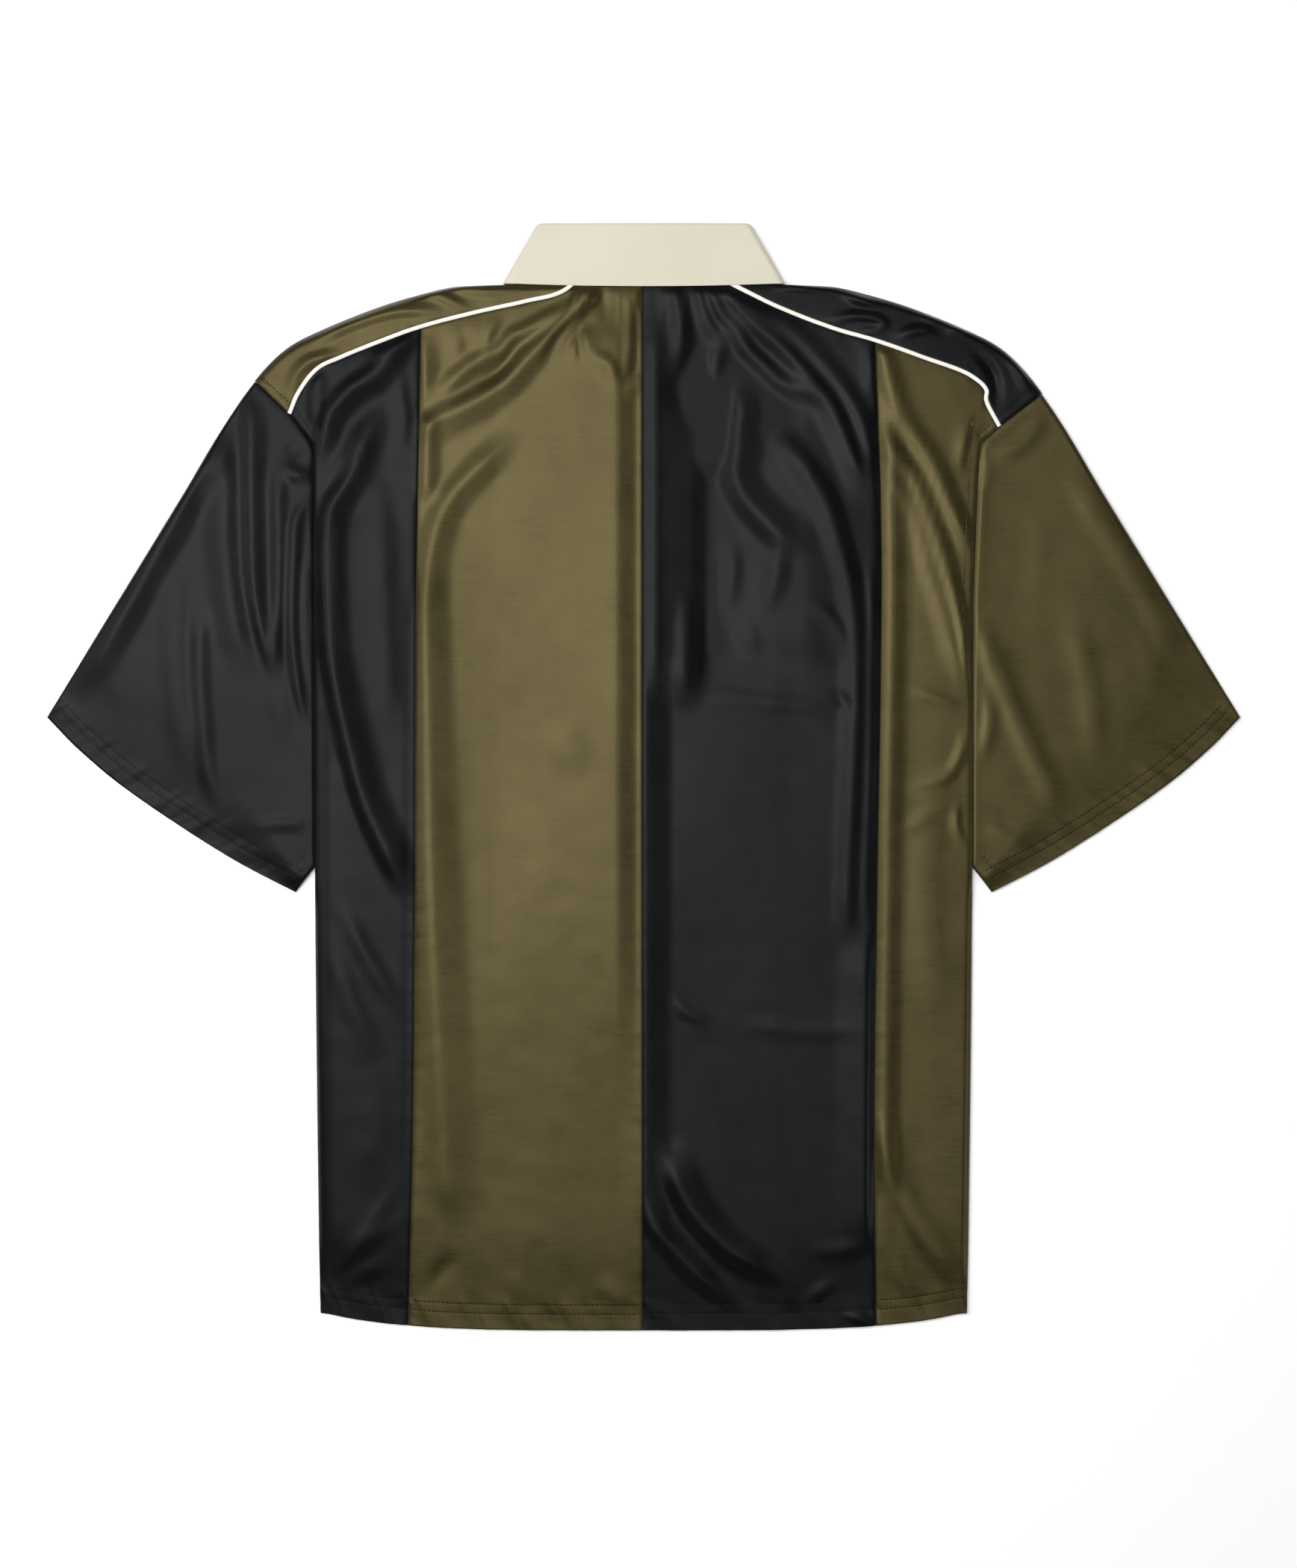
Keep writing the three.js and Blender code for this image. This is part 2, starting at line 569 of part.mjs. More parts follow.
// Sleeve: a flattened tube, its back layer, upper fold, front layer and lower fold in turn.
const SLEEVE_ROWS = [0, 0.04, 0.1, 0.19, 0.29, 0.39, 0.49, 0.59, 0.69, 0.79, 0.88, 0.95, 1];
const BACK_LAYER = 0.6; // shares of the ring
const UPPER_FOLD = 0.68;
const FRONT_LAYER = 0.92;
const ARMHOLE_SHARES = { straight: 0.775, kink: 0.817, pipe: 0.903 };
const { straight, kink, pipe } = ARMHOLE_SHARES;
const BACK_SHARES = [0, 0.07, 0.15, 0.24, 0.33, 0.42, 0.52, 0.62, 0.7, straight, kink, 0.86, pipe, 0.95];
const FRONT_SHARES = [0, 1 - pipe, 1 - kink, 1 - straight, 0.42, 0.7];
const SLEEVE_COLUMNS = [
  ...BACK_SHARES.map((v) => v * BACK_LAYER),
  ...steps(BACK_LAYER, UPPER_FOLD, 4),
  ...FRONT_SHARES.map((v) => lerp(UPPER_FOLD, FRONT_LAYER, v)),
  ...steps(FRONT_LAYER, 1, 4),
];
const SLEEVE_HEM_DROP = 0.1; // share of the length over which the back layer comes down at the hem
const SLEEVE_HEM_Z = FRONT_Z + 1.6;
const NEAR_FOLD = 0.015; // where a fold's roundness is read, as a share of the sleeve's width

const sleeveHemY = curveOf(SLEEVE_HEM, "x", "y");

function armholeLegs(side) {
  return [
    { ...UNDERARM, at: 0 },
    { x: UNDERARM.x, y: side.kink.y - 11.5, at: ARMHOLE_SHARES.straight },
    { x: side.kink.x + 0.3, y: side.kink.y + 0.1, at: ARMHOLE_SHARES.kink },
    { x: side.piping[0].x + 0.3, y: side.piping[0].y - 0.15, at: ARMHOLE_SHARES.pipe },
    { x: side.corner.x + 0.3, y: outlineY(side.corner.x + 0.3), at: 1 },
  ];
}

function sleeve(side) {
  const [corner, tip] = [SLEEVE_HEM[0], SLEEVE_HEM[SLEEVE_HEM.length - 1]];
  const legs = armholeLegs(side);
  const hem = (v) => {
    const x = lerp(corner.x, tip.x, v);
    return { x, y: sleeveHemY(x) };
  };
  const upper = (u) => {
    const x = lerp(tip.x, legs[legs.length - 1].x, u);
    return { x, y: outlineY(x) };
  };
  const lower = (u) => ({ x: lerp(corner.x, UNDERARM.x, u), y: lerp(corner.y, UNDERARM.y, u) });
  const plan = patch(lower, upper, hem, (v) => alongLegs(legs, v));
  const backZ = (u, point) => {
    const toHem = 1 - smooth(u / SLEEVE_HEM_DROP);
    return lerp(sleeveHeight(side, point.x, point.y), SLEEVE_HEM_Z, toHem);
  };
  const surface = (ring, u) => {
    const width = Math.hypot(plan(u, 1).x - plan(u, 0).x, plan(u, 1).y - plan(u, 0).y);
    const fold = (atUpper) => {
      const rim = plan(u, atUpper ? 1 - NEAR_FOLD : NEAR_FOLD);
      const radius = (backZ(u, rim) - FRONT_Z) / 2;
      const inset = (out) => (CLOTH / 2 + radius * out) / width;
      return { start: atUpper ? 1 - inset(1) : inset(1), inset };
    };
    const [low, high] = [fold(false), fold(true)];
    if (ring <= BACK_LAYER) {
      const point = plan(u, lerp(low.start, high.start, ring / BACK_LAYER));
      return place(side, point, backZ(u, point));
    }
    if (ring > UPPER_FOLD && ring <= FRONT_LAYER) {
      const t = (ring - UPPER_FOLD) / (FRONT_LAYER - UPPER_FOLD);
      return place(side, plan(u, lerp(high.start, low.start, t)), FRONT_Z);
    }
    const atUpper = ring <= UPPER_FOLD;
    const turn = atUpper
      ? (Math.PI * (ring - BACK_LAYER)) / (UPPER_FOLD - BACK_LAYER)
      : (Math.PI * (1 - ring)) / (1 - FRONT_LAYER);
    const bend = atUpper ? high : low;
    const share = bend.inset(1 - Math.sin(turn));
    const topZ = backZ(u, plan(u, bend.start));
    const z = lerp(topZ, FRONT_Z, (1 - Math.cos(turn)) / 2);
    return place(side, plan(u, atUpper ? 1 - share : share), z);
  };
  return clothWall(surface, SLEEVE_COLUMNS, SLEEVE_ROWS, CLOTH, true);
}

// Front

const FRONT_INSET = 0.6; // keeps the front's edges inside the back's
const FRONT_BREAK = 0.32; // share of the front's width at the neck's side
const FRONT_LEAF = 0.37; // and where its shoulder edge leaves the collar
const NECK_STEPS = 6; // columns round the neck, the same as the collar's
const FRONT_COLUMNS = [
  ...steps(0, FRONT_BREAK, NECK_STEPS),
  FRONT_BREAK,
  FRONT_LEAF,
  0.5,
  0.66,
  0.82,
  0.93,
  1,
];
const FRONT_STEP = { from: 0.77, to: 0.793 };
const FRONT_SIDE = { underarm: 0.4637, armhole: 0.4835, straight: 0.8836, kink: 0.9057, pipe: 0.9505 };
const FRONT_ROWS = [
  ...steps(0, FRONT_SIDE.underarm, 5),
  FRONT_SIDE.underarm,
  FRONT_SIDE.armhole,
  0.58,
  0.68,
  0.73,
  FRONT_STEP.from,
  FRONT_STEP.to,
  0.84,
  FRONT_SIDE.straight,
  FRONT_SIDE.kink,
  FRONT_SIDE.pipe,
  0.976,
  1,
];

function frontHalf(side) {
  const hemLift = 1;
  const innerX = GAP / 2;
  const step = PLACKET_HALF + GAP;
  const standX = curveOf(COLLAR_FRONT, "g", "standX");
  const standY = curveOf(COLLAR_FRONT, "g", "standY");
  const neck = steps(1, 0, NECK_STEPS).map((g, i) => {
    if (i === 0) return { x: step, y: PLACKET_TOP_Y + GAP, at: 0 };
    return { x: standX(g) + GAP, y: standY(g) - GAP, at: i / NECK_STEPS };
  });
  const neckEnd = { x: standX(0) + GAP, y: standY(0) - 2 * GAP, at: 1 };
  neck.push(neckEnd);
  const centre = [
    { x: innerX, y: hemY(0) + hemLift, at: 0 },
    { x: innerX, y: PLACKET_BOTTOM_Y - 1, at: FRONT_STEP.from },
    { x: step, y: PLACKET_BOTTOM_Y, at: FRONT_STEP.to },
    { ...neck[0], at: 1 },
  ];
  const armhole = armholeLegs(side);
  const outer = [
    { x: HEM_HALF - FRONT_INSET, y: side.edge[0].y + hemLift, at: 0 },
    { x: side.edgeX(-65) - FRONT_INSET, y: UNDERARM.y - 10.6, at: FRONT_SIDE.underarm },
    { x: UNDERARM.x - 2 * GAP, y: UNDERARM.y - 2 * GAP, at: FRONT_SIDE.armhole },
    { x: armhole[1].x - 2 * GAP, y: armhole[1].y + 0.1, at: FRONT_SIDE.straight },
    { x: armhole[2].x - 0.4, y: armhole[2].y + 0.1, at: FRONT_SIDE.kink },
    { x: armhole[3].x - 0.4, y: armhole[3].y + 0.1, at: FRONT_SIDE.pipe },
    { ...shoulderEdge(side, 0, FRONT_INSET), at: 1 },
  ];
  const corner = outer[outer.length - 1];
  const leaf = { x: COLLAR_CORNER_X - 0.4, y: outlineY(COLLAR_CORNER_X) - FRONT_INSET };
  const bottom = (u) => {
    const x = lerp(innerX, HEM_HALF - FRONT_INSET, u);
    return { x, y: lerp(hemY(x), side.edge[0].y, u ** 8) + hemLift };
  };
  const top = (u) => {
    if (u <= FRONT_BREAK) return alongLegs(neck, u / FRONT_BREAK);
    if (u <= FRONT_LEAF) {
      const t = (u - FRONT_BREAK) / (FRONT_LEAF - FRONT_BREAK);
      return { x: lerp(neckEnd.x, leaf.x, t), y: lerp(neckEnd.y, leaf.y, t) };
    }
    const t = (u - FRONT_LEAF) / (1 - FRONT_LEAF);
    const x = lerp(leaf.x, corner.x, t);
    return { x, y: lerp(outlineY(x) - FRONT_INSET, corner.y, t ** 12) };
  };
  const plan = patch(bottom, top, (v) => alongLegs(centre, v), (v) => alongLegs(outer, v), 6);
  const surface = (u, v) => {
    const point = plan(u, v);
    return place(side, point, frontHeight(point.x, point.y));
  };
  return clothWall(surface, FRONT_COLUMNS, FRONT_ROWS, CLOTH);
}

function placket() {
  const surface = (u, v) => {
    const x = lerp(-PLACKET_HALF, PLACKET_HALF, u);
    return new THREE.Vector3(x, lerp(PLACKET_BOTTOM_Y + GAP, PLACKET_TOP_Y, v), FRONT_Z + PLACKET_LIFT);
  };
  return clothWall(surface, [0, 0.5, 1], [...steps(0, 1, 6), 1], CLOTH);
}

function button() {
  const { radius, thickness, segments } = BUTTON;
  return new THREE.CylinderGeometry(radius, radius, thickness, segments).rotateX(Math.PI / 2);
}

// Collar: the leaf's free edge, the fold and the stand's edge, swept round the neck.
const COLLAR_BACK = 0.4; // shares of each half: straight run behind, then the side fold
const COLLAR_TURN = 0.6;
const COLLAR_HALF_ROWS = [
  ...steps(0, COLLAR_BACK, 6),
  ...steps(COLLAR_BACK, COLLAR_TURN, 6),
  ...steps(COLLAR_TURN, 1, 6),
  1,
];
const COLLAR_ROWS = [...COLLAR_HALF_ROWS.slice(1).reverse().map((r) => -r), ...COLLAR_HALF_ROWS];
const LEAF = 0.5; // shares of the section: leaf, then fold, then stand
const FOLD = 0.7;
const COLLAR_COLUMNS = [...steps(0, LEAF, 3), ...steps(LEAF, FOLD, 4), FOLD, 0.85, 1];

function collarLines(share) {
  const half = Math.abs(share);
  const line = ({ half: reach, bulge, back, front }, y, frontX, frontY) => {
    if (half <= COLLAR_BACK) return new THREE.Vector3(((reach - bulge) * half) / COLLAR_BACK, y, back);
    if (half <= COLLAR_TURN) {
      const turn = (Math.PI * (half - COLLAR_BACK)) / (COLLAR_TURN - COLLAR_BACK);
      const z = (back + front) / 2 + ((back - front) / 2) * Math.cos(turn);
      return new THREE.Vector3(reach - bulge * (1 - Math.sin(turn)), y, z);
    }
    return new THREE.Vector3(frontX, frontY, front);
  };
  const g = clamp((half - COLLAR_TURN) / (1 - COLLAR_TURN), 0, 1);
  const row = Object.fromEntries(
    Object.keys(COLLAR_FRONT[0]).map((key) => [key, curveOf(COLLAR_FRONT, "g", key)(g)]),
  );
  const edgeY = LEAF_EDGE_Y + LEAF_EDGE_RISE * Math.min(half / COLLAR_BACK, 1) ** 2;
  const foldY = COLLAR_TOP_Y - COLLAR_CLOTH / 2 - 1.8;
  return {
    edge: line(COLLAR_LINES.edge, edgeY, row.edgeX, row.edgeY),
    leafFold: line(COLLAR_LINES.leafFold, foldY, row.foldX, row.foldY),
    standFold: line(COLLAR_LINES.standFold, foldY, row.foldX, row.foldY),
    stand: line(COLLAR_LINES.stand, NECK_Y + GAP, row.standX, row.standY),
    behind: 1 - smooth((half - COLLAR_BACK) / (COLLAR_TURN - COLLAR_BACK)),
  };
}

function collar() {
  const surface = (u, v) => {
    const share = lerp(-1, 1, v);
    const { edge, leafFold, standFold, stand, behind } = collarLines(share);
    let point;
    if (u <= LEAF) {
      point = edge.clone().lerp(leafFold, u / LEAF);
      point.z += LEAF_CROWN * behind * Math.sin((Math.PI * u) / LEAF);
    } else if (u <= FOLD) {
      const turn = (Math.PI * (u - LEAF)) / (FOLD - LEAF);
      const centre = leafFold.clone().add(standFold).multiplyScalar(0.5);
      const reach = leafFold.clone().sub(edge).setLength(leafFold.distanceTo(standFold) / 2);
      point = centre.clone().addScaledVector(leafFold.clone().sub(centre), Math.cos(turn));
      point.addScaledVector(reach, Math.sin(turn));
    } else {
      point = standFold.clone().lerp(stand, (u - FOLD) / (1 - FOLD));
    }
    if (share < 0) point.x = -point.x;
    return point;
  };
  return clothWall(surface, COLLAR_COLUMNS, COLLAR_ROWS.map((r) => (r + 1) / 2), COLLAR_CLOTH);
}

// The shirt

function finish(color, roughness) {
  return new THREE.MeshStandardMaterial({ color, roughness, metalness: 0 });
}

const satin = (colour) => finish(colour, 0.42);
const matt = (colour) => finish(colour, 0.8);
const gloss = (colour) => finish(colour, 0.3);

const group = new THREE.Group();

function add(name, geometry, material) {
  const mesh = new THREE.Mesh(geometry, material);
  mesh.name = name;
  group.add(mesh);
  return mesh;
}

add("back_centre_left", centrePanel(LEFT), satin(COLOURS.olive));
add("back_centre_right", centrePanel(RIGHT), satin(COLOURS.black));
add("back_side_left", sidePanel(LEFT), satin(COLOURS.black));
add("back_side_right", sidePanel(RIGHT), satin(COLOURS.olive));
add("yoke_left", yoke(LEFT), satin(COLOURS.olive));
add("yoke_right", yoke(RIGHT), satin(COLOURS.black));
add("piping_left", piping(LEFT), matt(COLOURS.white));
add("piping_right", piping(RIGHT), matt(COLOURS.white));
add("sleeve_left", sleeve(LEFT), satin(COLOURS.black));
add("sleeve_right", sleeve(RIGHT), satin(COLOURS.olive));
add("front_left", frontHalf(LEFT), satin(COLOURS.black));
add("front_right", frontHalf(RIGHT), satin(COLOURS.olive));
add("collar", collar(), matt(COLOURS.ecru));
add("placket", placket(), satin(COLOURS.black));
BUTTON_YS.forEach((y, i) => {
  add(`button_${i + 1}`, button(), gloss(COLOURS.horn)).position.set(0, y, BUTTON.thickness / 2);
});

export default group;
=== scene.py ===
"""A short-sleeved satin polo shirt, laid flat on its front with the back up.

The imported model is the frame: every cloth here lies where its solid lies, as a thin wall with
the creases, stitching and finish of the real shirt. Sizes are in millimetres in the shirt's own
frame, +X to the sleeve at the right, +Y to the collar and +Z up, and become metres in a mesh.
"""

import logging
import math
from dataclasses import dataclass, field
from enum import Enum
from functools import partial
from typing import Callable, ClassVar, Iterable, Sequence

import bpy
import numpy as np
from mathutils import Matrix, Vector
from mathutils.bvhtree import BVHTree


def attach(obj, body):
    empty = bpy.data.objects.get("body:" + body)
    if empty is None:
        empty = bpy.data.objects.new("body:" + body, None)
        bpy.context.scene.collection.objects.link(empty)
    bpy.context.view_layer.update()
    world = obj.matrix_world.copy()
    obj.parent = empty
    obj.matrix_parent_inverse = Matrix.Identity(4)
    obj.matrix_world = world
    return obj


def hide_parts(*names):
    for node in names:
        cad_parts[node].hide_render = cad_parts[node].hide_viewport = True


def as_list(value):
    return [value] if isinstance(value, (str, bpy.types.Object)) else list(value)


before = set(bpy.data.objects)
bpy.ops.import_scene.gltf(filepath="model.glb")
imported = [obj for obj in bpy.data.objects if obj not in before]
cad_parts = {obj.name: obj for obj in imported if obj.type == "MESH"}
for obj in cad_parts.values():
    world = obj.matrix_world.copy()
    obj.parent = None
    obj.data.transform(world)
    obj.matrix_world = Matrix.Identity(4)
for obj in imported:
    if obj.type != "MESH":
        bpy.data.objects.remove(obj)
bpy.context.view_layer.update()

Array = np.ndarray
Number = Array | float
Span = tuple[float, float]
Rows = tuple[Span, ...]
Colour = tuple[float, float, float]
Leg = tuple[float, float, float]
Strand = tuple[Array, Array]
Edge = Callable[[Array], Array]
Thing = bpy.types.Object
Socket = bpy.types.NodeSocket

log = logging.getLogger("polo_shirt")

MM = 0.001

# Driving dimensions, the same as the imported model's.
CLOTH = 1.2  # thickness of the satin
COLLAR_CLOTH = 1.5
GAP = 0.3  # between pieces at a seam
HEM_Y = -376.7
HEM_RISE = 12.0  # how much higher the hem ends at the side folds
HEM_HALF = 220.0
COLLAR_TOP_Y = 376.7
NECK_Y = 346.5
NECK_HALF = 38.0
NECK_SIDE = (80.0, 346.2)
COLLAR_CORNER_X = 87.0
LEAF_EDGE_Y = 333.8

# Heights of the middle of each cloth.
FRONT_Z = CLOTH / 2
BACK_Z = 5.0
SLEEVE_Z = 4.6
TUCK_Z = 2.4
LAYER = CLOTH + GAP
FRONT_EDGE_Z = FRONT_Z + LAYER + 0.1
SLEEVE_EDGE_Z = TUCK_Z + LAYER

PLACKET_HALF = 16.0
PLACKET_BOTTOM_Y = 150.0
PLACKET_TOP_Y = 291.7
PLACKET_LIFT = 2.3
WING_LIFT = 1.95

KINK_ROW = 0.952  # share of the back's length where the armhole seam leaves the side fold
YOKE_SEAM = 5 / 9  # share of the yoke seam between the armhole and the side seam
NECK_COLUMN = 0.75  # share of a centre panel's width where its yoke seam ends
EDGE_ROUND = 5.0  # how far inside a free edge the cloth rises to its full height
EDGE_POWER = 2.2  # and how steeply at first
CORNER_POWER = 8  # how close to a corner an edge bends to meet it
FOLD_CALM = 9.0  # creases die out so near to the piping and the collar
FOLD_STEP = 4.0  # between the points at which a crease is read
FOLD_FADE = 36.0  # a crease dies out over so much of its length
NECK_FADE = 12.0  # unless it starts under the collar

EDGE_LINES = np.array([0.0, 0.5, 1.1, 1.9, 2.9, 4.2])  # grid lines beside an edge
INNER_LINES = 6.0  # and where the even ones begin
CLOSEST_LINES = 0.3

# Edge of the shoulder and of the sleeve's upper fold, x and y, from the collar to the tip.
OUTLINE = (
    (94, 334.5), (127, 333.5), (145, 330), (182, 319), (228, 300), (246, 289), (264.5, 269.7),
    (286, 239), (313, 193.5), (406.4, 41.1),
)
# Sleeve hem, x and y, from its lower corner to the tip.
SLEEVE_HEM = ((237, -78.2), (275, -58.5), (313, -35), (357, -4.6), (386, 20), (406.4, 41.1))
UNDERARM = (215.3, -50.1)


def lerp(a: Number, b: Number, t: Number) -> Number:
    """Return the value a share t of the way from a to b."""
    return a + (b - a) * t


def smooth(t: Number) -> Array:
    """Return 0 below 0, 1 above 1, and a smooth rise between."""
    c = np.clip(t, 0.0, 1.0)
    return c * c * (3 - 2 * c)


def plan_points(x: Number, y: Number) -> Array:
    """Return points with x and y last."""
    return np.stack(np.broadcast_arrays(x, y), -1)


def on_curve(curve: Callable[[Array], Array], x: Number) -> Array:
    """Return the points of a curve at x."""
    return plan_points(x, curve(x))


def distance(a: Array, b: Number) -> Array:
    """Return the distances between points."""
    return np.linalg.norm(a - b, axis=-1)


def stations(length: float, step: float, marks: Iterable[float] = ()) -> Array:
    """Place grid lines along an edge, closer together near its two ends.

    Args:
        length: Length of the edge.
        step: Usual distance between two lines.
        marks: Shares of the length that must carry a line.

    Returns:
        The lines' shares of the length, from 0 to 1.
    """
    count = max(int((length - 2 * INNER_LINES) / step), 2)
    middle = np.linspace(INNER_LINES, length - INNER_LINES, count)
    shares = np.concatenate([EDGE_LINES, middle, length - EDGE_LINES]) / length
    kept = [s for s in shares if all(abs(s - m) > CLOSEST_LINES / length for m in marks)]
    return np.array(sorted([*kept, *marks]))


class Curve:
    """A smooth function through the rows of a table, held level past its ends."""

    def __init__(self, rows: Sequence[Span]) -> None:
        """Take the table's rows, a value and its result, in rising order of the value."""
        self.at, self.out = np.array(rows, float).T
        first = np.r_[0, np.arange(len(rows) - 1)]
        last = np.r_[np.arange(1, len(rows)), len(rows) - 1]
        self.slope = (self.out[last] - self.out[first]) / (self.at[last] - self.at[first])

    def __call__(self, value: Number) -> Array:
        """Return the curve's result.

        Args:
            value: Where the curve is read.

        Returns:
            One result for each value.
        """
        value = np.asarray(value, float)
        i = np.clip(np.searchsorted(self.at, value, side="left") - 1, 0, len(self.at) - 2)
        span = self.at[i + 1] - self.at[i]
        t = np.clip((value - self.at[i]) / span, 0.0, 1.0)
        leave = t * (1 - t) ** 2 * span
        arrive = t * t * (t - 1) * span
        run = lerp(self.out[i], self.out[i + 1], smooth(t))
        return run + self.slope[i] * leave + self.slope[i + 1] * arrive


class Spline:
    """A centripetal curve through plan points, read by its share from the first to the last."""

    NEAR = 1e-4  # share over which its direction is read

    def __init__(self, points: Sequence[Span]) -> None:
        """Take the points that the curve passes through."""
        inner = np.array(points, float)
        self.points = np.vstack([2 * inner[0] - inner[1], inner, 2 * inner[-1] - inner[-2]])
        self.spans = len(points) - 1

    def at(self, share: Number) -> Array:
        """Return the curve's points.

        Args:
            share: Shares of the whole curve, from 0 to 1.

        Returns:
            The plan points.
        """
        along = np.clip(np.asarray(share, float), 0.0, 1.0) * self.spans
        i = np.minimum(along.astype(int), self.spans - 1)
        t = (along - i)[..., None]
        p0, p1, p2, p3 = (self.points[i + k] for k in range(4))
        d0, d1, d2 = (distance(a, b)[..., None] ** 0.5 for a, b in ((p1, p0), (p2, p1), (p3, p2)))
        m1 = ((p1 - p0) / d0 - (p2 - p0) / (d0 + d1) + (p2 - p1) / d1) * d1
        m2 = ((p2 - p1) / d1 - (p3 - p1) / (d1 + d2) + (p3 - p2) / d2) * d1
        cubic = 2 * p1 - 2 * p2 + m1 + m2
        square = -3 * p1 + 3 * p2 - 2 * m1 - m2
        return ((cubic * t + square) * t + m1) * t + p1

    def run(self, share: Number) -> Array:
        """Return the unit direction in which the curve runs at each share."""
        ahead = self.at(np.asarray(share) + self.NEAR) - self.at(np.asarray(share) - self.NEAR)
        return ahead / distance(ahead, 0.0)[..., None]


def along_legs(legs: Sequence[Leg], share: Array) -> Array:
    """Return the plan points at shares along straight legs, each given by its end's x, y and share."""
    xs, ys, at = zip(*legs)
    return plan_points(np.interp(share, at, xs), np.interp(share, at, ys))


@dataclass
class Patch:
    """The surface spanned by four edges; the larger top_power, the nearer the top its bends die out."""

    bottom: Edge
    top: Edge
    left: Edge
    right: Edge
    top_power: float = 1.0

    def at(self, u: Array, v: Array) -> Array:
        """Return the plan points inside the edges.

        Args:
            u: Shares across, of any shape.
            v: Shares along.

        Returns:
            The plan points.
        """
        zero, one = np.array(0.0), np.array(1.0)
        a, b, c, d = self.bottom(zero), self.bottom(one), self.top(zero), self.top(one)
        u, v = np.broadcast_arrays(u, v)
        across, along = u[..., None], v[..., None]
        low, high = lerp(a, b, across), lerp(c, d, across)
        ends = (self.bottom(u) - low) * (1 - along) + (self.top(u) - high) * along**self.top_power
        near = self.left(v) - lerp(a, c, along)
        far = self.right(v) - lerp(b, d, along)
        return lerp(low, high, along) + ends + lerp(near, far, across)


class Form(Enum):
    """How a crease is rounded at its crest and at its feet, as shares of a flank."""

    CRISP = (0.2, 0.2)
    SOFT = (0.5, 0.45)


SOFT = Form.SOFT


@dataclass(frozen=True)
class Fold:
    """One crease of the cloth, whose crest runs smoothly through its path's points.

    Its flanks are so wide to the left and right of that run, the same all along or at the start
    and at the end, and it rises, or sinks where rise is negative.
    """

    path: tuple[float, ...]  # x and y in turn
    left: float | Span
    right: float | Span
    rise: float
    form: Form = Form.CRISP

    def flank(self, share: Array) -> Array:
        """Return the height of a straight flank with a rounded crest and foot.

        Args:
            share: Distances from the crest, as shares of the flank.

        Returns:
            Heights, nearly 1 at the crest and 0 beyond the foot.
        """
        crest, foot = self.form.value
        at_crest = 1 - crest / 2 - share * share / (2 * crest)
        at_foot = np.maximum(1 + foot - share, 0) ** 2 / (4 * foot)
        return np.where(share < crest, at_crest, np.where(share > 1 - foot, at_foot, 1 - share))

    def rise_at(self, x: Array, y: Array) -> Array:
        """Return the height that this crease adds.

        Args:
            x: The points' x.
            y: The points' y.

        Returns:
            The heights.
        """
        added = np.zeros(x.shape)
        points = np.reshape(self.path, (-1, 2))
        left, right = np.broadcast_to(self.left, 2), np.broadcast_to(self.right, 2)
        reach = max(*left, *right) * (1 + self.form.value[1])
        legs = distance(points[1:], points[:-1]).sum()
        spine = Spline(points).at(np.linspace(0, 1, max(6, int(legs / FOLD_STEP))))
        low, high = spine.min(axis=0) - reach, spine.max(axis=0) + reach
        near = (x > low[0]) & (x < high[0]) & (y > low[1]) & (y < high[1])
        if not near.any():
            return added
        px, py = x[near], y[near]
        nearest = np.full(px.shape, np.inf)
        run, turn = np.zeros(px.shape), np.zeros(px.shape)
        far = 0.0
        for (ax, ay), (bx, by) in zip(spine, spine[1:]):
            dx, dy = bx - ax, by - ay
            leg = math.hypot(dx, dy)
            t = np.clip(((px - ax) * dx + (py - ay) * dy) / (leg * leg), 0, 1)
            away = np.hypot(px - ax - t * dx, py - ay - t * dy)
            closer = away < nearest
            nearest = np.where(closer, away, nearest)
            run = np.where(closer, far + t * leg, run)
            turn = np.where(closer, dx * (py - ay) - dy * (px - ax), turn)
            far += leg
        along = run / far
        width = np.where(turn > 0, lerp(*left, along), lerp(*right, along))
        ends = [NECK_FADE if y > LEAF_EDGE_Y else FOLD_FADE for y in points[[0, -1], 1]]
        start, end = (min(fade, far * 0.45) for fade in ends)
        taper = smooth(run / start) * smooth((far - run) / end)
        added[near] = self.rise * self.flank(nearest / width) * taper
        return added


def folds_rise(folds: Sequence[Fold], x: Array, y: Array) -> Array:
    """Return the heights that creases add together."""
    return sum((fold.rise_at(x, y) for fold in folds), np.zeros(np.shape(x)))


@dataclass(frozen=True)
class Waves:
    """Gentle unevenness: plane waves whose directions and phases come from one seed."""

    seed: int
    count: int
    shortest: float
    longest: float
    height: float

    def at(self, x: Array, y: Array) -> Array:
        """Return the waves' height.

        Args:
            x: The points' x.
            y: The points' y.

        Returns:
            The heights, mostly within plus and minus height.
        """
        draw = np.random.default_rng(self.seed)
        total = np.zeros(np.shape(x))
        for _ in range(self.count):
            length = self.shortest * (self.longest / self.shortest) ** draw.random()
            angle, phase = draw.random(2) * 2 * math.pi
            across = x * math.cos(angle) + y * math.sin(angle)
            total = total + np.sin(across * 2 * math.pi / length + phase)
        return total * self.height / math.sqrt(self.count / 2)


@dataclass(frozen=True)
class Roll:
    """How the cloth rolls beside a stretch of a long seam.

    The seam lies in the middle of the profile, whose points are the distance to the right of the
    seam and the height there.
    """

    seam: str
    bottom: float
    top: float
    profile: Rows
    fade_bottom: float
    fade_top: float
    rounding: float = 1.6

    def rise_at(self, beside: Array, y: Array) -> Array:
        """Return the height that the roll adds.

        Args:
            beside: Distance to the right of the seam.
            y: The points' y.

        Returns:
            The heights.
        """
        at, heights = zip(*self.profile)
        shifts = np.linspace(-self.rounding, self.rounding, 5)
        across = sum(np.interp(beside + shift, at, heights) for shift in shifts) / len(shifts)
        rising = smooth((y - self.bottom) / self.fade_bottom)
        return across * rising * smooth((self.top - y) / self.fade_top)


